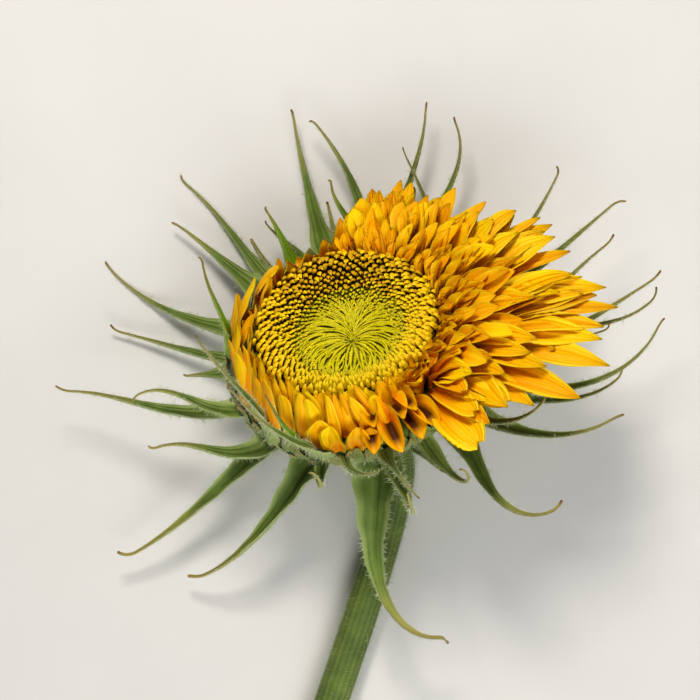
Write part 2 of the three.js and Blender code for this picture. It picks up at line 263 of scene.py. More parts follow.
@dataclass
class Stack:
    """Closed bodies that share one plan: rings of points from a start point to an end point.

    rings is shaped (bodies, rows, count, 3), start and end (bodies, 3), uv (rows, count, 2) or with the
    bodies in front, and slots, shaped (bodies, rows + 1), gives each band's material: the fan at the
    start, the bands between rings, and the fan at the end.
    """

    rings: Array
    start: Array
    end: Array
    uv: Array
    slots: Array

    def bands(self) -> tuple[Array, Array, Array, Array]:
        """Faces of one body: quads between rings and a fan of triangles at each end.

        Returns:
            Quads, triangles, and the band that each quad and each triangle lies in.
        """
        rows, count = self.rings.shape[1:3]
        here = np.arange(count)
        beside = (here + 1) % count
        row = 1 + count * np.arange(rows)[:, None]
        corners = [row[:-1] + here, row[:-1] + beside, row[1:] + beside, row[1:] + here]
        quads = np.stack(corners, axis=-1).reshape(-1, 4)
        last = 1 + count * (rows - 1)
        first_fan = np.stack([np.zeros_like(here), 1 + beside, 1 + here], axis=-1)
        last_fan = np.stack([np.full_like(here, last + count), last + here, last + beside], axis=-1)
        quad_band = np.repeat(np.arange(1, rows), count)
        tri_band = np.repeat([0, rows], count)
        return quads, np.concatenate([first_fan, last_fan]), quad_band, tri_band

    def parts(self) -> tuple[Array, Array, Array, Array, Array, Array]:
        """Points, texture places, faces and the faces' materials of all the bodies.

        A body whose signed volume, the sum of a . (b x c) over its triangles, is negative has its faces
        turned round, so that all of them point outwards.

        Returns:
            Points (m, 3), texture places (m, 2), quads, triangles, and the materials of both.
        """
        bodies, rows, count = self.rings.shape[:3]
        whole = [self.start[:, None], self.rings.reshape(bodies, -1, 3), self.end[:, None]]
        points = np.concatenate(whole, axis=1)
        uv = np.broadcast_to(self.uv, (bodies, rows, count, 2))
        uv_start = uv[:, 0].mean(axis=1)
        uv_end = uv[:, -1].mean(axis=1)
        places = np.concatenate([uv_start[:, None], uv.reshape(bodies, -1, 2), uv_end[:, None]], axis=1)
        quads, tris, quad_band, tri_band = self.bands()
        triangles = np.concatenate([quads[:, :3], quads[:, [0, 2, 3]], tris])
        local = points - points.mean(axis=1, keepdims=True)
        a, b, c = (local[:, triangles[:, i]] for i in range(3))
        inside_out = np.einsum("nij,nij->n", a, np.cross(b, c)) < 0
        offset = (np.arange(bodies) * points.shape[1])[:, None, None]
        turned = inside_out[:, None, None]
        all_quads = np.where(turned, quads[:, ::-1], quads) + offset
        all_tris = np.where(turned, tris[:, ::-1], tris) + offset
        slots = np.broadcast_to(self.slots, (bodies, rows + 1))
        return (
            points.reshape(-1, 3),
            places.reshape(-1, 2),
            all_quads.reshape(-1, 4),
            all_tris.reshape(-1, 3),
            slots[:, quad_band].ravel(),
            slots[:, tri_band].ravel(),
        )


def write_piece(name: str, stacks: list[Stack], materials: list[bpy.types.Material]) -> bpy.types.Object:
    """Makes one mesh object from stacks, in metres, and hangs it on the plant's body.

    Whatever would sink into the surface is lifted onto it.

    Args:
        name: The piece's name.
        stacks: What the mesh holds.
        materials: The materials that the stacks' slots count through.

    Returns:
        The object, at the origin.
    """
    parts = [stack.parts() for stack in stacks]
    offsets = np.cumsum([0] + [len(part[0]) for part in parts])
    points = np.concatenate([part[0] for part in parts]) * MM
    points[:, 2] = np.maximum(points[:, 2], FLOOR_GAP * MM)
    places = np.concatenate([part[1] for part in parts])
    quads = np.concatenate([part[2] + start for part, start in zip(parts, offsets)])
    tris = np.concatenate([part[3] + start for part, start in zip(parts, offsets)])
    slots = np.concatenate([part[4] for part in parts] + [part[5] for part in parts])
    corners = np.concatenate([quads.ravel(), tris.ravel()]).astype(np.int32)
    sizes = np.repeat([4, 3], [len(quads), len(tris)])
    starts = np.concatenate([[0], np.cumsum(sizes)[:-1]]).astype(np.int32)
    mesh = bpy.data.meshes.new(name)
    mesh.vertices.add(len(points))
    mesh.vertices.foreach_set("co", points.astype(np.float32).ravel())
    mesh.loops.add(len(corners))
    mesh.loops.foreach_set("vertex_index", corners)
    mesh.polygons.add(len(sizes))
    mesh.polygons.foreach_set("loop_start", starts)
    for material in materials:
        mesh.materials.append(material)
    mesh.polygons.foreach_set("material_index", slots.astype(np.int32))
    layer = mesh.uv_layers.new(name=UV_MAP)
    layer.data.foreach_set("uv", places[corners].astype(np.float32).ravel())
    mesh.update(calc_edges=True)
    mesh.shade_smooth()
    mesh.set_sharp_from_angle(angle=SHARP_EDGE)
    mesh.validate()
    piece = bpy.data.objects.new(name, mesh)
    bpy.context.scene.collection.objects.link(piece)
    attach(piece, BODY)
    LOG.info("%s: %d triangles", name, 2 * len(quads) + len(tris))
    return piece


def surface_uv(rows: Array, count: int) -> Array:
    """Texture places of a ring stack: u along it, and v from 1 down to 0 half way round and back to 1.

    Args:
        rows: u at each row.
        count: Points in a ring.

    Returns:
        Places shaped (rows, count, 2).
    """
    around = np.abs(np.linspace(-1, 1, count, endpoint=False))
    return np.stack(np.broadcast_arrays(rows[:, None], around[None, :]), axis=-1)


def tube(path: Array, side: Array, wide: Array, deep: Array, count: int, slots: Array, end: Array) -> Stack:
    """Round bodies along paths: each ring is side * wide * cos(a) + up * deep * sin(a) about the path.

    Args:
        path: Centre lines, shaped (n, rows, 3).
        side: Rough sideways directions.
        wide: Half widths along the side, shaped to spread over (n, rows).
        deep: Half depths square to it, shaped alike.
        count: Points in a ring.
        slots: Materials of the bands.
        end: The end points, shaped (n, 3).

    Returns:
        The closed bodies.
    """
    bodies, rows = path.shape[:2]
    _, side, up = frames(path, side)
    angle = 2 * np.pi * np.arange(count) / count
    wide = np.broadcast_to(wide, (bodies, rows))[..., None, None]
    deep = np.broadcast_to(deep, (bodies, rows))[..., None, None]
    ring = side[:, :, None] * wide * np.cos(angle)[:, None] + up[:, :, None] * deep * np.sin(angle)[:, None]
    uv = surface_uv(np.linspace(0, 1, rows), count)
    return Stack(path[:, :, None] + ring, path[:, 0], end, uv, slots)


def thin_blade(path: Array, side: Array, across: Array, shift: Array, lift: Array, depth: Array) -> Array:
    """Rings of thin closed blades: an upper face, and a lower face set back along its normals.

    The upper face is path + side * shift + up * lift. Its normal is the cross product of its slopes
    along and across, and the lower face lies depth behind it, which is nought at both edges.

    Args:
        path: Centre lines, shaped (n, rows, 3).
        side: Rough sideways directions.
        across: Places across the blade, from -1 to 1.
        shift: Sideways distances, shaped (n, rows, across).
        lift: Upward distances, shaped alike.
        depth: Thickness at the middle, shaped to spread over (n, rows, 1).

    Returns:
        Rings shaped (n, rows, 2 * across - 2, 3).
    """
    _, side, up = frames(path, side)
    upper = path[:, :, None] + side[:, :, None] * shift[..., None] + up[:, :, None] * lift[..., None]
    normal = unit(np.cross(np.gradient(upper, axis=1), np.gradient(upper, axis=2)))
    back = depth * (1 - np.abs(across) ** 3)
    lower = upper - normal * np.broadcast_to(back, shift.shape)[..., None]
    return np.concatenate([upper, lower[:, :, -2:0:-1]], axis=2)


def blade_uv(rows: Array, across: Array) -> Array:
    """Texture places of a thin blade: u along it, v from 0 to a half over the front and on to 1 behind.

    Args:
        rows: u at each row.
        across: Places across the blade, from -1 to 1.

    Returns:
        Places shaped (rows, 2 * across - 2, 2).
    """
    front = (across + 1) / 4
    round_it = np.concatenate([front, 1 - front[-2:0:-1]])
    return np.stack(np.broadcast_arrays(rows[:, None], round_it[None, :]), axis=-1)


def hair_stack(base: Array, way: Array, length: Array, bend: Array, radius: float) -> Stack:
    """Fine three-sided hairs that narrow to a point.

    A hair's line is base + length * (way * t + bend * t^2), and its radius falls from the given one to
    nought at the tip.

    Args:
        base: Where they grow, shaped (n, 3).
        way: Directions in which they leave, shaped (n, 3).
        length: Lengths, shaped (n,).
        bend: How they curve, shaped (n, 3).
        radius: Radius at the base.

    Returns:
        The closed hairs.
    """
    t = np.array([0.0, 0.45, 0.8])
    size = length[:, None, None]
    path = base[:, None] + size * (way[:, None] * t[:, None] + bend[:, None] * t[:, None] ** 2)
    end = base + length[:, None] * (way + bend)
    hint = np.where(np.abs(way[:, 2:]) > 0.9, np.array([1.0, 0, 0]), np.array([0, 0, 1.0]))
    taper = radius * np.array([1.0, 0.75, 0.4])
    return tube(path, hint[:, None], taper, taper, 3, np.zeros(4, int), end)


# ---- Materials ------------------------------------------------------------------------------

# What makes a mix node mix colours, its two colour inputs and its output.
COLOURS = {"data_type": "RGBA"}
FIRST, SECOND, MIXED = 6, 7, 2


def linear(code: str) -> tuple[float, float, float, float]:
    """An sRGB colour such as #FFC400 as linear light.

    Args:
        code: A hash and six hex digits.

    Returns:
        Red, green, blue and an alpha of one.
    """
    shares = [int(code[i:i + 2], 16) / 255 for i in (1, 3, 5)]
    light = [c / 12.92 if c <= 0.04045 else ((c + 0.055) / 1.055) ** 2.4 for c in shares]
    return (*light, 1.0)


def add_node(
    tree: bpy.types.NodeTree, kind: str, settings: dict[Any, Any], links: dict[Any, Any], out: Any = 0,
) -> Any:
    """Adds a node, sets it up and links it.

    Args:
        tree: The material's node tree.
        kind: The node's type name, after the words ShaderNode.
        settings: Values by property name, or by the name or number of an input. A text that starts with
            a hash is an sRGB colour.
        links: Output sockets by the name or number of the input that they feed.
        out: The name or number of the output to give back.

    Returns:
        The new node's output.
    """
    node = tree.nodes.new(f"ShaderNode{kind}")
    for key, value in settings.items():
        if isinstance(key, str) and hasattr(node, key):
            setattr(node, key, value)
            continue
        is_colour = isinstance(value, str) and value.startswith("#")
        node.inputs[key].default_value = linear(value) if is_colour else value
    for key, socket in links.items():
        tree.links.new(socket, node.inputs[key])
    return node.outputs[out]


def grain(tree: bpy.types.NodeTree, size: float) -> Any:
    """Noise in the plant's own space, from 0 to 1.

    A skin's real cells are under a tenth of a millimetre wide, too fine to show, so its finest grain is
    drawn several times as coarse.

    Args:
        tree: The material's node tree.
        size: Width of a patch, in millimetres.

    Returns:
        The noise's value.
    """
    place = add_node(tree, "TexCoord", {}, {}, "Object")
    settings = {"Scale": 1 / (size * MM), "Detail": 3.0, "Roughness": 0.55}
    return add_node(tree, "TexNoise", settings, {"Vector": place}, "Fac")


def along_and_round(tree: bpy.types.NodeTree) -> tuple[Any, Any]:
    """The piece's own texture places.

    Args:
        tree: The material's node tree.

    Returns:
        u, which runs along the piece, and v, which runs across or round it.
    """
    place = add_node(tree, "UVMap", {"uv_map": UV_MAP}, {}, "UV")
    along = add_node(tree, "SeparateXYZ", {}, {"Vector": place}, "X")
    return along, along.node.outputs["Y"]


def lines(tree: bpy.types.NodeTree, source: Any, repeats: float) -> Any:
    """Even lines over a value: half of one plus the cosine of the value, repeated.

    Args:
        tree: The material's node tree.
        source: The value to repeat over.
        repeats: Lines in each one of the value.

    Returns:
        A value from 0 to 1.
    """
    turn = add_node(tree, "Math", {"operation": "MULTIPLY", 1: 2 * math.pi * repeats}, {0: source})
    wave = add_node(tree, "Math", {"operation": "COSINE"}, {0: turn})
    return add_node(tree, "Math", {"operation": "MULTIPLY_ADD", 1: 0.5, 2: 0.5}, {0: wave})


def new_material(name: str) -> tuple[bpy.types.Material, bpy.types.NodeTree]:
    """An empty material.

    Args:
        name: The material's name.

    Returns:
        The material and its node tree.
    """
    material = bpy.data.materials.new(name)
    material.use_nodes = True
    return material, material.node_tree


def dress(tree: bpy.types.NodeTree, colour: Any, normal: Any, values: dict[str, Any]) -> None:
    """Gives a material's shader its colour and relief, and sets plain numbers on its own sockets.

    Args:
        tree: The material's node tree.
        colour: The colour's socket.
        normal: The relief's socket.
        values: Values by the name of the shader's socket.
    """
    shader = tree.nodes["Principled BSDF"]
    tree.links.new(colour, shader.inputs["Base Color"])
    tree.links.new(normal, shader.inputs["Normal"])
    for key, value in values.items():
        shader.inputs[key].default_value = value


@dataclass(frozen=True)
class PetalSkin:
    """Ray floret, fresh: a thin waxy skin over soft pigment, finely pleated along its length.

    The wax gives a silky gloss, light soaks a little way in, and the pleats catch it as fine lines. The
    colour deepens towards the foot as painted shade, is lightened along the rim as a painted highlight,
    and a rolled ray has painted shade in its throat. The relief is in millimetres, and the pleats are
    counted across one face.
    """

    name: str
    light: str
    dark: str
    pleats: float
    relief: float
    # painted shade: the dark colour in a rolled ray's throat
    painted_throat_shade: str = ""
    # painted highlight: the paler yellow along the rim
    painted_rim_highlight: str = "#FFE228"
    # painted shade: the deeper orange towards the foot, where the rays crowd
    foot: str = "#E48C00"
    roughness: float = 0.48

    def material(self) -> bpy.types.Material:
        """Builds the material.

        Returns:
            The material.
        """
        material, tree = new_material(self.name)
        along, across = along_and_round(tree)
        # Soft patches of the darker shade, and more of it on the crests of the pleats.
        patches = {"Factor": grain(tree, 5.0)}
        colour = add_node(tree, "Mix", COLOURS | {FIRST: self.light, SECOND: self.dark}, patches, MIXED)
        pleat = lines(tree, across, 2 * self.pleats)
        crest = add_node(tree, "Math", {"operation": "MULTIPLY", 1: 0.25}, {0: pleat})
        colour = add_node(tree, "Mix", COLOURS | {SECOND: self.dark}, {"Factor": crest, FIRST: colour}, MIXED)
        # The foot's orange, painted shade where the rays crowd, comes in below three quarters of the length,
        # and the rim's painted highlight over the last third of the way to the edge.
        low = add_node(tree, "MapRange", {"From Min": 0.75, "From Max": 0.2, "To Max": 0.8}, {"Value": along})
        colour = add_node(tree, "Mix", COLOURS | {SECOND: self.foot}, {"Factor": low, FIRST: colour}, MIXED)
        # The rim's paler yellow is a painted highlight along the edges.
        inward = {"Value": add_node(tree, "Math", {"operation": "PINGPONG", 1: 0.25}, {0: across})}
        edge = add_node(tree, "MapRange", {"From Min": 0.085, "From Max": 0.0, "To Max": 0.8}, inward)
        colour = add_node(tree, "Mix", COLOURS | {SECOND: self.painted_rim_highlight}, {"Factor": edge, FIRST: colour}, MIXED)
        if self.painted_throat_shade:
            # The throat's painted shade fills the middle of the front face only, and stops short of the tip.
            middle = add_node(tree, "MapRange", {"From Min": 0.10, "From Max": 0.20}, inward)
            front = add_node(tree, "Math", {"operation": "LESS_THAN", 1: 0.5}, {0: across})
            deep = add_node(tree, "MapRange", {"From Min": 0.95, "From Max": 0.7}, {"Value": along})
            share = add_node(tree, "Math", {"operation": "MULTIPLY"}, {0: middle, 1: front})
            share = {"Factor": add_node(tree, "Math", {"operation": "MULTIPLY"}, {0: share, 1: deep})}
            colour = add_node(tree, "Mix", COLOURS | {SECOND: self.painted_throat_shade}, share | {FIRST: colour}, MIXED)
        normal = add_node(tree, "Bump", {"Distance": self.relief * MM}, {"Height": pleat})
        fine = grain(tree, 0.8)
        normal = add_node(tree, "Bump", {"Distance": 0.06 * MM}, {"Height": fine, "Normal": normal})
        wax = {"Roughness": self.roughness, "IOR": 1.4, "Specular IOR Level": 0.3}
        soak = {"Subsurface Weight": 0.15, "Subsurface Radius": (1.2, 0.8, 0.1), "Subsurface Scale": MM}
        dress(tree, colour, normal, wax | soak)
        return material


@dataclass(frozen=True)
class LeafSkin:
    """Bract, living: a green leathery blade with lengthwise veins, paler below, dried to brown at its tip.

    A short down covers it, so its gloss is broken and its edges take a pale sheen. The veins are counted
    across one face.
    """

    name: str
    upper: str
    upper_dark: str
    lower: str
    dry: str
    burnt: str
    veins: float = 5.0

    def material(self) -> bpy.types.Material:
        """Builds the material.

        Returns:
            The material.
        """
        material, tree = new_material(self.name)
        along, across = along_and_round(tree)
        patches = {"Factor": grain(tree, 4.0)}
        front = add_node(tree, "Mix", COLOURS | {FIRST: self.upper, SECOND: self.upper_dark}, patches, MIXED)
        behind = add_node(tree, "Mix", COLOURS | {FIRST: self.lower, SECOND: self.upper}, patches, MIXED)
        is_behind = add_node(tree, "MapRange", {"From Min": 0.48, "From Max": 0.52}, {"Value": across})
        colour = add_node(tree, "Mix", COLOURS, {"Factor": is_behind, FIRST: front, SECOND: behind}, MIXED)
        # The underside's pale green also lines the veins, faintly, and the edges.
        vein = lines(tree, across, 2 * self.veins)
        pale = add_node(tree, "Math", {"operation": "POWER", 1: 6.0}, {0: vein})
        pale = add_node(tree, "Math", {"operation": "MULTIPLY", 1: 0.09}, {0: pale})
        colour = add_node(tree, "Mix", COLOURS | {SECOND: self.lower}, {"Factor": pale, FIRST: colour}, MIXED)
        inward = {"Value": add_node(tree, "Math", {"operation": "PINGPONG", 1: 0.25}, {0: across})}
        edge = add_node(tree, "MapRange", {"From Min": 0.11, "From Max": 0.0, "To Max": 0.95}, inward)
        colour = add_node(tree, "Mix", COLOURS | {SECOND: self.lower}, {"Factor": edge, FIRST: colour}, MIXED)
        # The blade dries from six tenths of its length on, with a ragged border, and its point is scorched.
        ragged = {0: grain(tree, 6.0), 2: along}
        ragged = {"Value": add_node(tree, "Math", {"operation": "MULTIPLY_ADD", 1: 0.16}, ragged)}
        dried = add_node(tree, "MapRange", {"From Min": 0.6, "From Max": 1.02}, ragged)
        colour = add_node(tree, "Mix", COLOURS | {SECOND: self.dry}, {"Factor": dried, FIRST: colour}, MIXED)
        tip = add_node(tree, "MapRange", {"From Min": 1.05, "From Max": 1.1}, ragged)
        colour = add_node(tree, "Mix", COLOURS | {SECOND: self.burnt}, {"Factor": tip, FIRST: colour}, MIXED)
        normal = add_node(tree, "Bump", {"Distance": 0.15 * MM}, {"Height": vein})
        fine = grain(tree, 0.6)
        normal = add_node(tree, "Bump", {"Distance": 0.16 * MM}, {"Height": fine, "Normal": normal})
        skin = {"Roughness": 0.55, "IOR": 1.42, "Sheen Weight": 0.22, "Sheen Roughness": 0.4}
        soak = {"Subsurface Weight": 0.08, "Subsurface Radius": (0.8, 1.2, 0.3), "Subsurface Scale": MM}
        dress(tree, colour, normal, skin | soak)
        return material


@dataclass(frozen=True)
class StemSkin:
    """Sunflower stem, living: ribbed green rind under a rough down.

    Darker and paler streaks run along the ribs, and the rind has a low, broken gloss. The streaks are
    counted over half the way round, and the relief is in millimetres.
    """

    name: str
    light: str
    dark: str
    streaks: float = 9.0
    relief: float = 0.08

    def material(self) -> bpy.types.Material:
        """Builds the material.

        Returns:
            The material.
        """
        material, tree = new_material(self.name)
        _, around = along_and_round(tree)
        streak = lines(tree, around, self.streaks)
        streaky = {0: streak, 2: grain(tree, 9.0)}
        streaky = {"Value": add_node(tree, "Math", {"operation": "MULTIPLY_ADD", 1: 0.24}, streaky)}
        spread = {"Factor": add_node(tree, "MapRange", {"From Min": 0.35, "From Max": 0.95}, streaky)}
        colour = add_node(tree, "Mix", COLOURS | {FIRST: self.dark, SECOND: self.light}, spread, MIXED)
        normal = add_node(tree, "Bump", {"Distance": self.relief * MM}, {"Height": streak})
        fine = grain(tree, 0.8)
        normal = add_node(tree, "Bump", {"Distance": 0.16 * MM}, {"Height": fine, "Normal": normal})
        rind = {"Roughness": 0.58, "IOR": 1.42, "Sheen Weight": 0.25, "Sheen Roughness": 0.4}
        dress(tree, colour, normal, rind)
        return material


@dataclass(frozen=True)
class PlainTissue:
    """Plain matt surface with no veins of its own: floret skin, pith, down, or a painted floor.

    Small soft patches of a second colour and a fine uneven surface keep it from looking printed. The
    patches' width and the relief are in millimetres, and the glow is how much light soaks in.
    """

    name: str
    light: str
    dark: str
    patch: float
    relief: float
    roughness: float = 0.5
    glow: float = 0.0

    def material(self) -> bpy.types.Material:
        """Builds the material.

        Returns:
            The material.
        """
        material, tree = new_material(self.name)
        patches = {"Value": grain(tree, self.patch)}
        spread = {"Factor": add_node(tree, "MapRange", {"From Min": 0.3, "From Max": 0.7}, patches)}
        colour = add_node(tree, "Mix", COLOURS | {FIRST: self.light, SECOND: self.dark}, spread, MIXED)
        fine = grain(tree, self.patch / 3)
        normal = add_node(tree, "Bump", {"Distance": self.relief * MM}, {"Height": fine})
        skin = {"Roughness": self.roughness, "IOR": 1.42}
        soak = {"Subsurface Weight": self.glow, "Subsurface Radius": (1.0, 0.7, 0.1), "Subsurface Scale": MM}
        dress(tree, colour, normal, skin | soak)
        return material


# Plant hairs, living: clear cell walls full of air, so they catch the light as pale threads.
DOWN = PlainTissue("down_pale", "#E2E6CC", "#BEC69E", 2.0, 0.01, roughness=0.4, glow=0.1)
STEM_DOWN = PlainTissue("down_green", "#C6CFA2", "#93A56A", 2.0, 0.01, roughness=0.45, glow=0.1)


class Tone(IntEnum):
    """The colours of a ray: the root's orange, which is painted shade, and the others for the rest of it."""

    ROOT_PAINTED_SHADE = 0
    DEEP = 1
    GOLD = 2
    BRIGHT = 3
    # a darker copy of the gold, painted shade
    OCHRE_PAINTED_SHADE = 4
    # gold with painted shade in its throat
    THROAT_PAINTED_SHADE = 5


# The ochre among these is a darker copy of the gold, painted shade, dealt out to a few rays.
PLAIN_TONES = (Tone.DEEP, Tone.GOLD, Tone.BRIGHT, Tone.OCHRE_PAINTED_SHADE)


def petal_materials(size: str, pleats: float, relief: float) -> list[bpy.types.Material]:
    """The ray colours for rays of one size.

    Args:
        size: A word that ends the materials' names.
        pleats: Pleats across a ray.
        relief: How deep the pleats are, in millimetres.

    Returns:
        The materials, in the order of Tone.
    """
    # The root's orange, the ochre and the throated gold's throat are painted shade.
    colours = [
        ("ray_root_orange_painted_shade", "#F6A600", "#E88E00", ""),
        ("ray_deep_gold", "#FABC00", "#F2AA00", ""),
        ("ray_gold", "#FECA00", "#F8B800", ""),
        ("ray_bright_yellow", "#FFD800", "#FFCA00", ""),
        ("ray_ochre_painted_shade", "#EEB000", "#D89800", ""),
        ("ray_gold_painted_throat_shade", "#FFC600", "#F6B000", "#4A2402"),
    ]
    return [
        PetalSkin(f"{name}_{size}", light, dark, pleats=pleats, relief=relief, painted_throat_shade=painted_throat_shade).material()
        for name, light, dark, painted_throat_shade in colours
    ]


# ---- The stem -------------------------------------------------------------------------------


@dataclass
class Stem:
    """The neck, which leaves the cup along the head's axis and bends onto the surface, and the stem."""

    head: Head
    radius: float = 6.25
    top_radius: float = 7.0
    ribs: int = 11
    rib_depth: float = 0.11
    rest_height: float = 6.25 * math.cos(math.radians(15))
    # the neck's start along the head's axis, and where it ends and the stem is cut, from the head's centre
    neck_start: float = -42.0
    neck_end: tuple[float, float] = (18, -52)
    cut: tuple[float, float] = (-14, -158.7)
    neck_share: float = 0.4
    # the cut face's rings: their size against the last one, and how far they stand out along the stem
    face_shares: tuple[float, ...] = (0.97, 0.9, 0.84, 0.78, 0.45)
    face_heights: tuple[float, ...] = (0.0, 0.05, 0.0, -0.15, -0.3)
    rows: int = 110
    count: int = 88
    hairs: int = 5000
    hair_radius: float = 0.055
    bare_below: float = 1.2  # no down grows where the stem lies on the surface

    def path(self, t: Array) -> Array:
        """Two cubic curves, from the neck onto the surface and then along it.

        Args:
            t: Parameters from 0 to 1, of which the first curve takes the neck's share.

        Returns:
            Points shaped (rows, 3).
        """
        base = self.head.centre * np.array([1, 1, 0])
        neck_top = self.head.point(0.0, 0.0, self.neck_start)
        neck_end = base + np.array([*self.neck_end, self.rest_height])
        cut = base + np.array([*self.cut, self.rest_height])
        neck = [neck_top, neck_top - 8 * self.head.axis, neck_end + np.array([0.5, 10, 0]), neck_end]
        run = [neck_end, neck_end + np.array([-1.1, -22, 0]), cut + np.array([11, 33.4, 0]), cut]
        split = self.neck_share
        first = bezier(np.array(neck), np.clip(t / split, 0, 1))
        second = bezier(np.array(run), np.clip((t - split) / (1 - split), 0, 1))
        return np.where((t < split)[:, None], first, second)

    def build(self) -> None:
        """Makes the stem with its cut face, and the down on it.

        The radius is the size there, plus ribs, the cosine of the angle as often as there are ribs, that
        turn slowly on the way, plus a slow swell. The cut face is the last ring drawn in over the rind and
        the ring of strands to the pith.
        """
        t = np.linspace(0, 1, self.rows)
        path = self.path(t)[None]
        _, side, up = frames(path, np.array([1.0, 0.0, 0.0]))
        angle = 2 * np.pi * np.arange(self.count) / self.count
        size = np.interp(t, [0, 0.25, 1], [self.top_radius, self.radius, self.radius])
        rib = self.rib_depth * np.cos(self.ribs * angle + 2.0 * t[:, None])
        swell = 0.25 * np.sin(7 * t[:, None] + angle) * np.sin(3 * t[:, None])
        radial = size[:, None] + rib + swell - self.rib_depth
        ring = side[0, :, None] * np.cos(angle)[:, None] + up[0, :, None] * np.sin(angle)[:, None]
        rings = path[0, :, None] + radial[..., None] * ring
        face = path[0, -1] + np.array(self.face_shares)[:, None, None] * (rings[-1] - path[0, -1])
        along = unit(path[0, -1] - path[0, -2])
        face = face + np.array(self.face_heights)[:, None, None] * along
        rings = np.concatenate([rings, face])
        uv = surface_uv(np.linspace(0, 1, len(rings)), self.count)
        slots = np.zeros(len(rings) + 1, int)
        slots[-5:] = [1, 2, 1, 3, 3]  # the cut face: rind, strands, rind again, and pith
        stack = Stack(rings[None], path[:, 0], path[:, -1] - 0.35 * along, uv, slots)
        materials = [
            StemSkin("stem_rind", "#738438", "#4A5C28", relief=0.05).material(),
            PlainTissue("stem_cut_rind", "#9DB26A", "#7E9750", 0.6, 0.05).material(),
            PlainTissue("stem_cut_strands", "#5E7A3A", "#8BA05C", 0.5, 0.1).material(),
            PlainTissue("stem_cut_pith", "#E9EBD8", "#D5D9BC", 0.7, 0.12).material(),
        ]
        piece = write_piece("stem_skin", [stack], materials)
        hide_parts("stem")
        self.build_hairs(rings[: self.rows], ring)

    def build_hairs(self, rings: Array, outward: Array) -> None:
        """Makes the stem's down, thickest near the neck, on all but its underside.

        Args:
            rings: The stem's rings.
            outward: The direction from the middle to each ring's points.
        """
        rng = np.random.default_rng(11)
        place = (self.rows - 2) * rng.random(self.hairs) ** 1.35
        row = place.astype(int)
        share = (place - row)[:, None]
        spot = rng.integers(0, self.count, self.hairs)
        base = rings[row, spot] * (1 - share) + rings[row + 1, spot] * share
        turn = rng.random(self.hairs)[:, None]
        base = base * (1 - turn) + rings[row, (spot + 1) % self.count] * turn
        out = outward[row, spot]
        keep = base[:, 2] > self.bare_below
        base, out = base[keep], out[keep]
        way = unit(out + 0.3 * rng.normal(size=base.shape))
        length = 0.6 + 2.8 * rng.random(len(base)) ** 1.6
        bend = 0.2 * rng.normal(size=base.shape) + np.array([0, 0, -0.08])
        down = hair_stack(base - 0.1 * out, way, length, bend, self.hair_radius)
        piece = write_piece("stem_down", [down], [STEM_DOWN.material()])


# ---- The cup --------------------------------------------------------------------------------


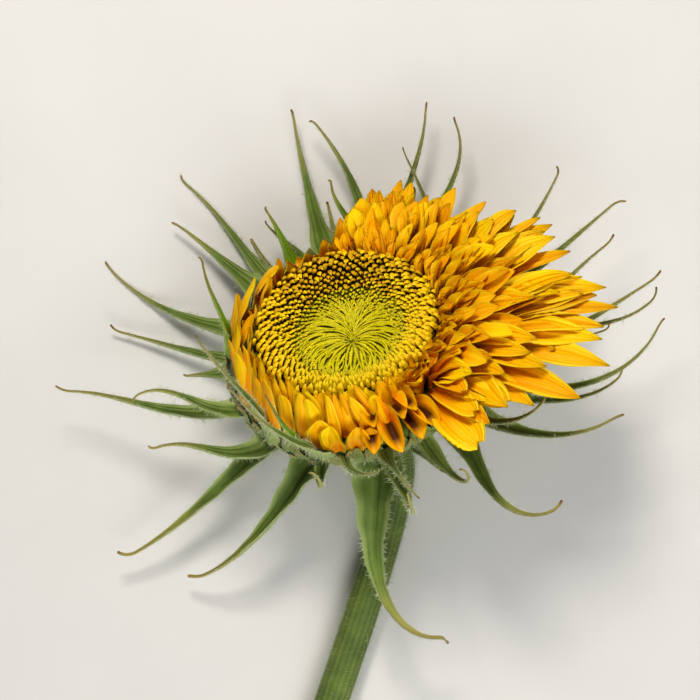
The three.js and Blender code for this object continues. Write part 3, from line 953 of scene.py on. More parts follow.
@dataclass
class Cup:
    """The green cup behind the florets, the short scales that overlap on it, and their down."""

    head: Head
    rows: int = 70
    count: int = 144
    hairs: int = 650  # on each row of scales
    hair_radius: float = 0.075
    scale_thickness: float = 0.7
    # where a row of scales starts and ends, from the neck (0) to above the rim (1), their number and width
    scale_rows: tuple[tuple[float, float, int, float], ...] = (
        (0.08, 0.48, 12, 13.0),
        (0.26, 0.66, 17, 14.5),
        (0.42, 0.80, 23, 13.5),
        (0.58, 0.90, 29, 11.5),
        (0.70, 1.00, 37, 9.5),
    )

    def build(self) -> None:
        """Makes the cup's wall, and then its scales.

        The wall is CUP_PROFILE turned about the head's axis, run through evenly by length with its corners
        eased by a weighted mean over five rows, and pushed in and out by waves round it and up it.
        """
        corners = np.array(CUP_PROFILE, float)
        lengths = np.concatenate([[0], np.cumsum(np.linalg.norm(np.diff(corners, axis=0), axis=1))])
        even = np.linspace(0, lengths[-1], self.rows)
        radius = np.interp(even, lengths, corners[:, 0])
        height = np.interp(even, lengths, corners[:, 1])
        weights = np.array([1, 2, 3, 2, 1]) / 9
        radius = np.convolve(np.pad(radius, 2, mode="edge"), weights, mode="valid")
        height = np.convolve(np.pad(height, 2, mode="edge"), weights, mode="valid")
        azimuth = 360 * np.arange(self.count) / self.count
        a = np.radians(azimuth)
        waves = np.sin(13 * a + 0.2 * height[:, None]) + 0.7 * np.sin(29 * a - 0.4 * height[:, None])
        relief = 0.35 * waves * smooth(radius, 8.0, 24.0)[:, None]
        rings = self.head.point(radius[:, None] + relief - 0.3, azimuth[None, :], height[:, None])
        uv = surface_uv(np.linspace(0, 1, self.rows), self.count)
        start = self.head.point(0.0, 0.0, corners[0, 1])[None]
        end = self.head.point(0.0, 0.0, corners[-1, 1])[None]
        stack = Stack(rings[None], start, end, uv, np.zeros(self.rows + 1, int))
        skin = StemSkin("cup_rind", "#6F8A3C", "#5A7430", streaks=16.0).material()
        piece = write_piece("receptacle_skin", [stack], [skin])
        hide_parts("receptacle")
        self.build_scales()

    def build_scales(self) -> None:
        """Makes the short inner bracts that hug the cup in overlapping rows, and the down on them.

        A scale's middle line follows CUP_PROFILE at its own azimuth and stands off it by 0.5 + 1.4 t^2.
        Its half width is a leaf's, full at a third of its length and pointed at its tip, and its edges
        wrap round the cup: a point w to the side is moved by w^2 / 2r.
        """
        rng = np.random.default_rng(13)
        corners = np.array([*CUP_PROFILE[:CUP_RIM + 1], SCALE_REACH], float)
        lengths = np.concatenate([[0], np.cumsum(np.linalg.norm(np.diff(corners, axis=0), axis=1))])
        t = np.linspace(0, 1, 14)
        across = np.linspace(-1, 1, 9)
        stacks = []
        for first, last, number, width in self.scale_rows:
            stagger = rng.uniform(-0.22, 0.22, number)
            azimuth = 360 * (np.arange(number) + stagger) / number + rng.uniform(0, 360)
            end = last + rng.uniform(-0.05, 0.03, number)
            place = lengths[-1] * (first + (end - first)[:, None] * t)
            radius = np.interp(place, lengths, corners[:, 0])
            height = np.interp(place, lengths, corners[:, 1])
            lean = azimuth[:, None] + rng.uniform(-5, 5, number)[:, None] * t**2
            path = self.head.point(radius + 0.5 + 1.4 * t**2, lean, height)
            x = np.clip((t - 0.33) / 0.67, 0, 1)
            half = (0.7 + 0.3 * smooth(t, 0.0, 0.33)) * (1 - x**1.7) ** 0.9
            half = half * width / 2 * rng.uniform(0.85, 1.15, number)[:, None]
            shift = half[..., None] * across
            midrib = 0.12 * half[..., None] * np.exp(-((across / 0.15) ** 2))
            lift = shift**2 / (2 * radius[..., None]) + midrib
            wave = np.sin(7 * t + rng.uniform(*ANY_PHASE, (number, 1)))[..., None] * np.abs(across) ** 3
            lift = lift - (0.08 * half)[..., None] * wave
            side = self.head.direction(azimuth + 90, 0.0)[:, None]
            rings = thin_blade(path, side, across, shift, lift, np.array([[[self.scale_thickness]]]))
            slots = np.zeros(len(t) + 1, int)
            stacks.append(Stack(rings, path[:, 0], path[:, -1], blade_uv(t, across), slots))
        skin = LeafSkin("cup_scale_green", "#6C8636", "#4E6828", "#84994E", "#9C9A52", "#9A7A44").material()
        piece = write_piece("receptacle_scales", stacks, [skin])
        self.build_down(stacks, len(across), rng)

    def build_down(self, scales: list[Stack], front: int, rng: np.random.Generator) -> None:
        """Makes the hairs on the scales' backs and edges.

        Args:
            scales: The rows of scales.
            front: Points across a scale's front.
            rng: The source of chance.
        """
        hairs = []
        for scale in scales:
            bodies, rows, count = scale.rings.shape[:3]
            body = rng.integers(0, bodies, self.hairs)
            row = rng.integers(2, rows - 1, self.hairs)
            spot = rng.integers(front - 1, count + 1, self.hairs) % count
            base = scale.rings[body, row, spot]
            from_axis = base - self.head.centre
            from_axis = unit(from_axis - (from_axis @ self.head.axis)[:, None] * self.head.axis)
            way = unit(from_axis - 0.5 * self.head.axis + 0.4 * rng.normal(size=base.shape))
            bend = 0.25 * rng.normal(size=base.shape)
            keep = (base + 3 * way)[:, 2] > 0.5
            length = rng.uniform(0.8, 2.4, keep.sum())
            hairs.append(hair_stack(base[keep], way[keep], length, bend[keep], self.hair_radius))
        piece = write_piece("receptacle_down", hairs, [DOWN.material()])


# ---- The bracts -----------------------------------------------------------------------------


@dataclass
class Bract:
    """One long green blade that leaves the cup and narrows to a hooked tail."""

    head: Head
    number: int
    azimuth: float
    row: int
    length: float
    width: float
    rise: tuple[float, float, float]
    swing: tuple[float, float]
    rows: int = 44
    count: int = 9
    tip_share: float = 0.07
    floor_softness: float = 2.0
    hair_radius: float = 0.075

    def course(self, t: Array) -> tuple[Array, Array, Array]:
        """The blade's middle line, its sideways direction and its half width.

        The line adds up steps along a heading and a rise, each a quadratic in t, with a hook up or down
        over the last tenth, and is kept above the surface by a smooth maximum. The width is a tail,
        0.84 (1 - t)^2.2 + 0.16 (1 - t)^0.5, that is drawn in at the base.

        Args:
            t: Parameters from 0 to 1.

        Returns:
            Points and sideways directions shaped (rows, 3), and half widths shaped (rows,).
        """
        middle = (t[1:] + t[:-1]) / 2
        rng = np.random.default_rng(100 + self.number)
        hook = rng.uniform(25, 80) * (1 if rng.random() < 0.75 else -1)

        def heading(place: Array) -> Array:
            """The azimuth towards which the blade runs at a place along it."""
            return self.azimuth + through(0.0, self.swing[0], self.swing[1], place)

        rise = through(*self.rise, middle) + hook * smooth(middle, 0.9, 1.0)
        steps = self.head.direction(heading(middle), rise) * (self.length * np.diff(t))[:, None]
        radius, height = BRACT_ROWS[self.row]
        start = self.head.point(radius, self.azimuth, height)
        points = start + np.concatenate([np.zeros((1, 3)), np.cumsum(steps, axis=0)])
        side = self.head.direction(heading(t) + 90, 0.0)
        tail = 0.84 * (1 - t) ** 2.2 + 0.16 * np.sqrt(1 - t)
        half = self.width / 2 * np.maximum(self.tip_share, tail) * np.minimum(1, 0.7 + 2.5 * t)
        rest = 0.75 * (1 - 0.5 * t) + np.abs(side[:, 2]) * half
        above = points[:, 2] - rest
        points[:, 2] = rest + 0.5 * (above + np.hypot(above, self.floor_softness))
        return points, side, half

    def build(self, skin: bpy.types.Material) -> Stack:
        """Makes the blade, and gives back the hairs that grow on it.

        The section is an arc whose half angle grows towards the tail, so that the tail is a channel, with
        a narrow groove in the middle, over the midrib. The edges wave a little along the way.

        Args:
            skin: The blade's material.

        Returns:
            The hairs.
        """
        rng = np.random.default_rng(200 + self.number)
        t = np.linspace(0, 1, self.rows) ** 0.92
        path, side, half = self.course(t)
        across = np.linspace(-1, 1, self.count)
        roll = np.interp(t, [0, 0.2, 0.6, 1], [0.35, 1.05, 1.45, 0.9]) * rng.uniform(0.8, 1.15)
        arc = roll[:, None] * across
        lift = half[:, None] * across * 0.5 * arc * np.sinc(arc / (2 * np.pi)) ** 2
        lift -= (0.32 * half * (1 - t))[:, None] * np.exp(-((across / 0.16) ** 2))
        phase = rng.uniform(*ANY_PHASE, 3)
        wave = np.sin(2 * np.pi * t * self.length / 17 + phase[0])[:, None] * across
        wave = wave + np.sin(2 * np.pi * t * self.length / 11 + phase[1])[:, None] * np.abs(across)
        lift = lift + 0.08 * (half * (1 - t))[:, None] * wave
        uneven = 1 + 0.06 * np.sin(t * self.length / 2.3 + phase[2])
        shift = half[:, None] * across * np.sinc(arc / np.pi) * uneven[:, None]
        thick = np.interp(t, [0, 0.3, 1], [1.5, 0.9, 0.45])
        rings = thin_blade(path[None], side[None], across, shift[None], lift[None], thick[None, :, None])
        uv = blade_uv(t, across)
        along = unit(path[-1] - path[-2])
        start = path[:1] - 0.4 * thick[0] * self.head.axis
        slots = np.zeros(self.rows + 1, int)
        stack = Stack(rings, start, path[-1:] + 0.5 * along, uv, slots)
        piece = write_piece(f"bract_skin_{self.number:02d}", [stack], [skin])
        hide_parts(f"bract_{self.number:02d}")
        return self.hairs(rings[0], path, side, rng)

    def hairs(self, rings: Array, path: Array, side: Array, rng: np.random.Generator) -> Stack:
        """Pale hairs on the edges and the back, shorter towards the tip.

        Args:
            rings: The blade's rings.
            path: Its middle line.
            side: Its sideways directions.
            rng: The source of chance.

        Returns:
            The hairs.
        """
        per_mm = 2.0 if self.row == 0 else 6.5
        number = int(per_mm * self.length)
        t = rng.random(number) ** 1.25 * 0.9
        place = t * (self.rows - 1)
        low = place.astype(int)
        share = (place - low)[:, None]
        count = rings.shape[1]
        # Half of them on the two edges, the others over the back.
        at_edge = rng.random(number) < 0.5
        edge_spot = rng.choice([0, self.count - 1], number)
        spot = np.where(at_edge, edge_spot, rng.integers(self.count, count, number))
        base = rings[low, spot] * (1 - share) + rings[low + 1, spot] * share
        centre = path[low] * (1 - share) + path[low + 1] * share
        out = unit(base - centre + 1e-6)
        up = np.cross(unit(path[low + 1] - path[low]), side[low])
        behind = np.where(spot >= self.count, -1.0, rng.uniform(-0.8, 0.3, number))[:, None]
        way = unit(out + 0.7 * behind * up + 0.35 * rng.normal(size=base.shape))
        length = rng.uniform(0.8, 2.9, number) * (1 - 0.55 * t)
        bend = 0.25 * rng.normal(size=base.shape)
        reach = base + length[:, None] * (way + bend)
        keep = reach[:, 2] > 0.1
        return hair_stack(base[keep], way[keep], length[keep], bend[keep], self.hair_radius)


@dataclass
class Bracts:
    """All the bracts, and the hairs on them as joined pieces."""

    head: Head
    hair_pieces: int = 2

    def build(self) -> None:
        """Makes each bract and then the hairs."""
        green = LeafSkin("bract_green_leaf", "#7F9342", "#566C2C", "#ABBA76", "#BDAE62", "#9A5A34").material()
        lime = LeafSkin("bract_lime_leaf", "#8DB312", "#74A012", "#A8C23E", "#C2A94A", "#9A6A2A").material()
        hairs = []
        for number, entry in enumerate(BRACTS, start=1):
            azimuth, row, length, width, *bends = entry
            bract = Bract(self.head, number, azimuth, row, length, width, tuple(bends[:3]), tuple(bends[3:]))
            hairs.append(bract.build(lime if row == 0 else green))
        down = DOWN.material()
        size = math.ceil(len(hairs) / self.hair_pieces)
        for index in range(self.hair_pieces):
            piece = write_piece(f"bract_down_{index + 1}", hairs[index * size:(index + 1) * size], [down])


# ---- The disc of florets --------------------------------------------------------------------


class Bud(IntEnum):
    """The colours of a bud's foot and flank, which carry painted shade, and hood."""

    LIME = 0
    YELLOW = 1
    GOLD = 2
    # The feet are dark partly in their own colour and partly as painted shade, and the flanks are painted
    # shade.
    FOOT_AND_PAINTED_SHADE = 3
    FLANK_PAINTED_SHADE = 4
    OLIVE_FOOT_AND_PAINTED_SHADE = 5
    LIME_FLANK_PAINTED_SHADE = 6
    # the far side's ochre, painted shade
    OCHRE_PAINTED_SHADE = 7


@dataclass
class FloretDisc:
    """The dished disc: its bed, closed ridges in the middle, and rows of hooded buds round them."""

    head: Head
    ridge_radius: float = 18.0
    ridges: int = 144
    bend: float = 1.25
    crowding: float = 0.78
    bed_bottom: float = -16.0
    bed_depth: float = 1.6  # how far the bed lies under the florets' level
    bed_count: int = 96
    green_radius: float = 21.0  # within this the bed is green, and outside it brown, partly painted shade
    # radii, and how far apart neighbouring buds stand there
    pitches: tuple[tuple[float, float], ...] = (
        (4, 0.8), (9, 0.95), (16, 1.12), (22, 1.42), (28, 1.85), (32, 2.2),
    )

    def height(self, radius: Array) -> Array:
        """The florets' level over the disc: a smooth dish with a raised ring near the rim.

        Args:
            radius: Distances from the head's axis.

        Returns:
            Heights along the axis.
        """
        places = [0, 5, 9.5, 14, 18.5, 22, 25.5, 28, 30.5, 33.5]
        levels = [-6.6, -6.8, -6.6, -5.2, -3.0, -0.6, 1.5, 2.4, 2.6, 1.2]
        return np.interp(radius, places, levels)

    def build_bed(self) -> None:
        """Makes the florets' bed: their level, less the bed's depth, turned about the axis."""
        top = np.linspace(DISC_RADIUS - 0.6, 0.8, 30)
        radius = np.concatenate([[16, DISC_RADIUS - 2, DISC_RADIUS - 1], top])
        height = np.concatenate([[self.bed_bottom, self.bed_bottom, -9], self.height(top) - self.bed_depth])
        azimuth = 360 * np.arange(self.bed_count) / self.bed_count
        rings = self.head.point(radius[:, None], azimuth[None, :], height[:, None])
        start = self.head.point(0.0, 0.0, self.bed_bottom)[None]
        end = self.head.point(0.0, 0.0, self.height(0.0) - self.bed_depth)[None]
        uv = surface_uv(np.linspace(0, 1, len(radius)), self.bed_count)
        # The first band is the underside, which is brown. The brown is partly the bed's own colour and partly
        # painted shade in the gaps between the buds.
        slots = np.append(0, np.where(radius > self.green_radius, 0, 1))
        stack = Stack(rings[None], start, end, uv, slots)
        materials = [
            PlainTissue("floret_bed_brown_and_painted_shade", "#553E06", "#2E2004", 1.0, 0.3, roughness=0.7).material(),
            PlainTissue("floret_bed_green", "#B8AE14", "#88860C", 0.8, 0.3, roughness=0.6).material(),
        ]
        piece = write_piece("disc_bed", [stack], materials)
        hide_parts("floret_disc")

    def build_ridges(self) -> None:
        """Makes the ridges: closed florets that lie over outwards from the middle.

        Ridges end evenly round the disc at azimuths e. At radius r one lies at e + b (1 - (r / R)) cos e,
        so that they leave the middle like a fountain and arch down both sides. Of every eight, one starts
        at a radius of about 0.8, one at 2.6, two at 5.2 and four at 9. Where they would crowd together,
        on the far side, they start out where b (1 - (r / R)) sin e is no more than the crowding.
        """
        rng = np.random.default_rng(21)
        index = np.arange(self.ridges)
        first = np.select([index % 8 == 0, index % 4 == 0, index % 2 == 0], [0.8, 2.6, 5.2], 9.0)
        first = first + rng.uniform(-0.4, 0.6, self.ridges)
        last = self.ridge_radius + rng.uniform(-1.5, 1.2, self.ridges)
        share = np.linspace(0, 1, 9)
        ending = 2 * np.pi * (index + rng.uniform(-0.2, 0.2, self.ridges)) / self.ridges
        clear = 1 - self.crowding / (self.bend * np.maximum(np.sin(ending), 0.05))
        first = np.maximum(first, self.ridge_radius * clear)
        radius = first[:, None] + (last - first)[:, None] * share
        back = self.bend * (1 - radius / self.ridge_radius)
        sway = 0.05 * np.sin(5 * share + rng.uniform(*ANY_PHASE, (self.ridges, 1)))
        azimuth = np.degrees(ending[:, None] + back * np.cos(ending)[:, None] + sway)
        arch = 0.45 * np.sin(np.pi * share) ** 0.5
        uneven = rng.uniform(-0.15, 0.15, self.ridges)[:, None]
        path = self.head.point(radius, azimuth, self.height(radius) - 0.7 + arch + uneven)
        pitch = 2 * np.pi * radius / self.ridges * np.where(radius < 5.2, 4, np.where(radius < 9, 2, 1))
        opened = 1 + back * np.maximum(-np.sin(ending), -0.5)[:, None]
        taper = 0.25 + 0.75 * np.sin(np.pi * np.clip(share, 0.06, 0.94)) ** 0.4
        wide = np.clip(0.5 * pitch * opened, 0.26, 0.95) * taper
        slots = np.where(index[:, None] % 3 == 0, 1, np.zeros((self.ridges, 10), int))
        side = self.head.direction(azimuth + 90, 0.0)
        stack = tube(path, side, wide, 0.75 * wide + 0.2, 6, slots, path[:, -1])
        materials = [
            PlainTissue("ridge_lime", "#E2D60A", "#BEB806", 0.9, 0.06, glow=0.1).material(),
            PlainTissue("ridge_yellow", "#F4E624", "#DACC0A", 0.9, 0.06, glow=0.1).material(),
        ]
        piece = write_piece("disc_ridges", [stack], materials)

    def spiral(self) -> tuple[Array, Array, Array]:
        """Places of the buds, each the golden angle on from the last.

        The pitch d grows with radius, and bud k stands where the count of pitches squared that fit
        inside its radius, the sum of 2 pi r / d^2, is k.

        Returns:
            Radius, azimuth and pitch of each bud.
        """
        radius = np.linspace(4.0, DISC_RADIUS - 0.8, 500)
        pitch = np.interp(radius, *np.array(self.pitches).T)
        number_added = 2 * np.pi * radius[:-1] * np.diff(radius) / pitch[:-1] ** 2
        count = np.concatenate([[0], np.cumsum(number_added)])
        number = np.arange(int(count[-1]))
        place = np.interp(number, count, radius)
        return place, number * GOLDEN_ANGLE, np.interp(place, radius, pitch)

    def build_buds(self) -> None:
        """Makes the buds: short hooded fingers that stand on the bed and bow towards the middle.

        A bud's line is a cubic curve up from the bed and over inwards. Its half width swells from three
        quarters of its share of the pitch to all of it, and closes to a hooked point. Towards the stem
        the buds are narrower, more pointed and of uneven height.
        """
        rng = np.random.default_rng(22)
        radius, azimuth, pitch = self.spiral()
        far_side = np.maximum(np.sin(np.radians(azimuth)), 0) ** 2
        inner_edge = self.ridge_radius - 3.5 - 8.0 * far_side
        keep = radius > inner_edge + rng.uniform(0, 2.5, len(radius))
        radius, azimuth, pitch, far_side = radius[keep], azimuth[keep], pitch[keep], far_side[keep]
        number = len(radius)
        azimuth = azimuth + np.degrees(0.07 * pitch * rng.normal(size=number) / radius)
        radius = radius + 0.06 * pitch * rng.normal(size=number)
        near_side = np.maximum(-np.sin(np.radians(azimuth)), 0) ** 2
        tall = np.interp(radius, [8, 13, 18, 25, 33], [1.2, 1.6, 2.7, 4.2, 5.6])
        tall = tall * rng.uniform(0.85, 1.15, number)
        tall = tall * (1 + near_side * rng.uniform(0.05, 0.5, number))
        bow = np.interp(radius, [14, 20, 30, 33], [1.5, 1.6, 1.5, 1.0]) * pitch
        bow = bow * rng.uniform(0.8, 1.2, number) * (1 - 0.1 * near_side)
        up = self.head.axis
        inward = -self.head.direction(azimuth, 0.0) + 0.14 * rng.normal(size=(number, 3))
        base = self.head.point(radius + 0.35 * bow, azimuth, self.height(radius) - 2.6)
        tip = base + tall[:, None] * up + bow[:, None] * inward
        top = base + (1.18 * tall)[:, None] * up + (0.35 * bow)[:, None] * inward
        controls = np.stack([base, base + 0.55 * tall[:, None] * up, top, tip], axis=1)
        share = np.array([0.0, 0.42, 0.64, 0.82, 0.94])
        path = bezier(controls, share)
        swell = np.array([0.75, 1.0, 0.94, 0.6, 0.2])
        swell = swell - near_side[:, None] * np.array([0.0, 0.04, 0.2, 0.2, 0.08])
        wide = ((0.56 - 0.06 * near_side) * pitch * rng.uniform(0.88, 1.1, number))[:, None] * swell
        side = self.head.direction(azimuth + 90, 0.0)[:, None]
        # Lime in the middle, then yellow, then gold, a few of them one step on, and ochre painted shade at
        # the far side.
        hood = np.select([radius < 20.5, radius < 26 + 5 * near_side], [Bud.LIME, Bud.YELLOW], Bud.GOLD)
        hood = np.minimum(hood + (rng.random(number) < 0.18), Bud.GOLD)
        # painted shade: most far-side hoods past a radius of 20 take the darker ochre
        turned = (radius > 20) & (rng.random(number) < 0.8 * far_side)
        hood = np.where(turned, Bud.OCHRE_PAINTED_SHADE, hood)
        # The feet are dark partly in their own colour and partly as painted shade in the gaps, and the flanks
        # are darkened as painted shade below the hoods.
        foot = np.where(radius < 21.5, Bud.OLIVE_FOOT_AND_PAINTED_SHADE, Bud.FOOT_AND_PAINTED_SHADE)
        flank_painted_shade = np.where(radius < 20.5, Bud.LIME_FLANK_PAINTED_SHADE, Bud.FLANK_PAINTED_SHADE)
        slots = np.stack([foot, foot, flank_painted_shade, hood, hood, hood], axis=1)
        stack = tube(path, side, wide, 0.6 * wide, 6, slots, tip)
        materials = [
            PlainTissue("bud_lime", "#E2D40C", "#BEB006", 0.8, 0.08, glow=0.1).material(),
            PlainTissue("bud_yellow", "#FAE000", "#E4C200", 0.9, 0.08, glow=0.1).material(),
            PlainTissue("bud_gold", "#FFDE00", "#EEBC00", 1.0, 0.08, glow=0.1).material(),
            # The foot and flank colours, and the ochre, carry painted shade.
            PlainTissue("bud_foot_and_painted_shade", "#7E6208", "#4A3806", 0.8, 0.08, roughness=0.6).material(),
            PlainTissue("bud_flank_painted_shade", "#E8CA04", "#BA9C06", 0.8, 0.08, roughness=0.6).material(),
            PlainTissue("bud_olive_foot_and_painted_shade", "#7C780C", "#4E4E08", 0.8, 0.08, roughness=0.6).material(),
            PlainTissue("bud_lime_flank_painted_shade", "#C2B60A", "#949008", 0.8, 0.08, roughness=0.6).material(),
            PlainTissue("bud_ochre_painted_shade", "#EEC206", "#BC9406", 0.9, 0.08, glow=0.1).material(),
        ]
        piece = write_piece("disc_buds", [stack], materials)

    def build(self) -> None:
        """Makes the bed and all the florets on it."""
        self.build_bed()
        self.build_ridges()
        self.build_buds()


# ---- The rays -------------------------------------------------------------------------------


@dataclass(frozen=True)
class RayShape:
    """How one kind of ray is cut and meshed. The root's orange, painted shade, reaches up its share of the
    length.
    """

    rows: int
    count: int
    foot: float
    peak: float
    fullness: float
    point: float
    thickness: float
    painted_root_shade_share: float
    pleats: float = 2.0
    notch: float = 0.0

    def outline(self, t: Array) -> Array:
        """The half width along the ray, as a share of the widest.

        It grows from the foot to the peak by a smooth step, and past it falls as (1 - x^fullness)^point.

        Args:
            t: Parameters from 0 to 1.

        Returns:
            Shares of the widest half width.
        """
        grow = self.foot + (1 - self.foot) * smooth(t, 0.0, self.peak)
        x = np.clip((t - self.peak) / (1 - self.peak), 0, 1)
        return grow * (1 - x**self.fullness) ** self.point


@dataclass
class RayTable:
    """Where each ray of a group stands and how it is bent. Every field has one value for each ray."""

    azimuth: Array
    base_radius: Array
    base_height: Array
    tip_azimuth: Array
    tip_radius: Array
    tip_height: Array
    base_rise: Array
    tip_rise: Array
    width: Array
    roll: Array
    fold: Array
    pleat: Array
    twist: Array
    wave: Array
    tone: Array

    def stack(self, head: Head, shape: RayShape, rng: np.random.Generator) -> Stack:
        """Makes the rays as thin closed blades.

        A ray's middle line is a cubic curve from its base to its tip. Its section is an arc whose half
        angle is the roll, plus a fold that lifts both edges, cosine pleats, and a wave at the edges. The
        section turns about the line by the twist, and a notch draws the middle of the tip back.

        Args:
            head: The head's frame.
            shape: The kind of ray.
            rng: The source of chance.

        Returns:
            The closed blades.
        """
        number = len(self.azimuth)
        t = np.linspace(0, 1, shape.rows) ** 0.9 * 0.985
        across = np.linspace(-1, 1, shape.count)
        base = head.point(self.base_radius, self.azimuth, self.base_height)
        tip = head.point(self.tip_radius, self.tip_azimuth, self.tip_height)
        reach = np.linalg.norm(tip - base, axis=1)[:, None]
        leave = head.direction(self.azimuth, self.base_rise)
        arrive = head.direction(self.tip_azimuth, self.tip_rise)
        controls = np.stack([base, base + 0.38 * reach * leave, tip - 0.38 * reach * arrive, tip], axis=1)
        path = bezier(controls, t)
        side = head.direction(self.azimuth + 90, 0.0)[:, None]
        _, side, up = frames(path, side)
        turn = np.radians(self.twist[:, None, None] * t[:, None])
        side = np.cos(turn) * side + np.sin(turn) * up
        half = (self.width / 2)[:, None] * shape.outline(t)
        half = half * (1 + 0.05 * np.sin(9 * t + rng.uniform(*ANY_PHASE, (number, 1))))
        arc = self.roll[:, None, None] * (1 - 0.3 * t[:, None] ** 2) * across
        shift = half[..., None] * across * np.sinc(arc / np.pi)
        lift = half[..., None] * across * 0.5 * arc * np.sinc(arc / (2 * np.pi)) ** 2
        lift = lift + (self.fold[:, None] * half)[..., None] * (np.sqrt(across**2 + 0.02) - 0.14)
        ripple = np.cos(np.pi * shape.pleats * across) * (1 - across**2)
        lift = lift + (self.pleat[:, None] * half)[..., None] * ripple
        phase = rng.uniform(*ANY_PHASE, (number, 1, 1))
        edge = np.sin(2 * np.pi * 1.6 * t[:, None] + phase + 1.3 * np.sign(across)) * across**2
        lift = lift + (self.wave[:, None] * half * smooth(t, 0.1, 0.6))[..., None] * edge
        depth = shape.thickness * (1 - 0.4 * t)
        rings = thin_blade(path, side, across, shift, lift, depth[None, :, None])
        round_it = np.concatenate([across, across[-2:0:-1]])
        drawn_back = shape.notch * smooth(t, 0.75, 1.0)[:, None] * (1 - np.abs(round_it) ** 1.5)
        rings = rings - unit(tip - path[:, -2])[:, None, None] * drawn_back[..., None]
        tip = tip - shape.notch * unit(tip - path[:, -2])
        bands = np.concatenate([[0.0], (t[1:] + t[:-1]) / 2, [1.0]])
        # The root's bands take the orange of painted shade.
        slots = np.where(bands < shape.painted_root_shade_share, int(Tone.ROOT_PAINTED_SHADE), self.tone[:, None])
        return Stack(rings, path[:, 0], tip, blade_uv(t, across), slots)


def ray_keys(azimuth: Array) -> Array:
    """The crown and the reach at an azimuth, eased from key to key.

    Args:
        azimuth: Angles round the head.

    Returns:
        Crown radius, crown height, reach radius and reach height, along a new first axis.
    """
    keys = np.array(RAY_KEYS, float)
    angle = np.clip(azimuth, keys[0, 0], keys[-1, 0] - 0.01)
    index = np.searchsorted(keys[:, 0], angle, side="right") - 1
    share = smooth((angle - keys[index, 0]) / (keys[index + 1, 0] - keys[index, 0]), 0, 1)
    return keys[index, 1:].T * (1 - share) + keys[index + 1, 1:].T * share


# Rays that are placed one by one: azimuth, base radius and height, tip azimuth, radius and height, rise at
# the base and the tip, width, roll, fold, pleat, twist, wave and tone.
# The rolled rays right of the stem, with painted shade in their throats.
SCOOPS = (
    (-80, 39, -5, -81, 53, -4, 45, -15, 9.0, 1.3, 0.9, 0.03, -14, 0.10, 5),
    (-72, 39, -5, -71, 56, -4, 40, -15, 10.0, 1.3, 1.0, 0.03, 12, 0.10, 5),
    (-64, 39, -4, -63, 56, -2, 40, -10, 9.5, 1.3, 0.9, 0.03, -10, 0.10, 5),
    (-58, 39, -4, -56, 57, 0, 40, -10, 9.0, 1.2, 0.8, 0.03, 10, 0.10, 5),
    (-76, 37, -3, -78, 48, 4, 60, 10, 8.0, 1.2, 0.9, 0.03, 14, 0.10, 5),
    (-68, 37, -3, -66, 50, 5, 60, 10, 8.5, 1.2, 0.9, 0.03, -14, 0.10, 5),
    (-61, 37, -3, -60, 50, 6, 60, 10, 8.0, 1.2, 0.8, 0.03, 14, 0.10, 5),
)
# The broad shells that curl over the near rim.
SHELLS = (
    (256, 44.8, -10, 258, 42.5, 5, 95, 120, 12.5, -1.1, -0.1, 0.05, 15, 0.10, 2),
    (264, 44.8, -10, 263, 44, 3.5, 95, 125, 11.5, -1.2, 0.0, 0.05, -15, 0.12, 3),
    (272, 44.8, -10, 274, 44.5, 2, 92, 120, 10.5, -1.2, 0.0, 0.05, 10, 0.10, 2),
    (279, 44.8, -10, 280, 45, 1, 88, 115, 9.5, -1.1, 0.0, 0.05, -10, 0.10, 1),
)
# The odd ones: a few that stand apart at the left, and the tallest at the far side.
STRAYS = (
    (148, 41, -7, 135, 32, 11, 85, 150, 6.0, 0.7, 0.3, 0.08, 20, 0.06, 2),
    (133, 38, -5, 131, 35, 12, 90, 100, 3.6, 0.5, 0.3, 0.05, -20, 0.04, 1),
    (140, 39, -6, 139, 38, 4, 85, 110, 5.0, 0.6, 0.3, 0.05, 10, 0.06, 4),
    (70, 42, -6, 69, 60, 11, 75, 45, 8.0, 0.7, 0.2, 0.06, -12, 0.08, 1),
    (64, 42, -6, 65, 60, 11, 75, 40, 7.5, 0.8, 0.2, 0.06, 14, 0.08, 2),
    (56, 42, -6, 56, 56, 12, 75, 45, 8.0, 0.7, 0.2, 0.06, -8, 0.08, 1),
    (49, 42, -6, 50, 64, 11, 70, 35, 9.0, 0.7, 0.2, 0.06, 10, 0.08, 2),
    (40, 42, -6, 38, 66, 11, 65, 25, 10.0, 0.6, 0.2, 0.08, -14, 0.10, 1),
    (29, 42, -6, 28.5, 67, 11, 60, 20, 10.0, 0.6, 0.2, 0.08, 12, 0.10, 2),
    (103, 37, -6, 102, 37, 7, 85, 85, 5.6, 0.6, 0.2, 0.08, 0, 0.03, 1),
    (91, 36, -5, 91, 42, 11, 80, 60, 7.0, 0.9, 0.3, 0.08, 10, 0.03, 4),
    (87, 36, -5, 86, 40, 8, 80, 70, 5.5, 0.8, 0.3, 0.08, -15, 0.03, 1),
    (95, 36, -4, 96, 39, 5, 80, 70, 5.0, 0.8, 0.3, 0.08, 20, 0.03, 4),
    (178, 40, -7, 168, 33, 6, 85, 140, 5.0, 0.5, 0.4, 0.06, 25, 0.05, 2),
    (200, 42, -8, 187, 41, 9, 85, 95, 5.0, 0.6, 0.3, 0.06, 10, 0.04, 1),
    (204, 41, -8, 196, 35, 7, 85, 100, 4.8, 0.6, 0.3, 0.06, -10, 0.04, 2),
)
# The broad wavy rays between the scoops and the open side.
WAVY_RAYS = (
    (-50, 40, -5, -51, 73, -1, 35, -10, 15.0, 0.55, 0.10, 0.10, 14, 0.30, 2),
    (-42, 40, -4, -40, 66, 4, 35, 0, 11.0, 0.60, 0.25, 0.12, -14, 0.16, 3),
    (-47, 40, -4, -46, 66, 5, 50, 5, 10.0, 0.7, 0.2, 0.1, 12, 0.12, 2),
    (-41, 39, -3, -44, 59, 9, 60, 20, 9.0, 0.8, 0.3, 0.08, -12, 0.10, 1),
    (-37, 40, -4, -38, 72, 4, 45, 0, 10.5, 0.6, 0.2, 0.12, 12, 0.16, 2),
)
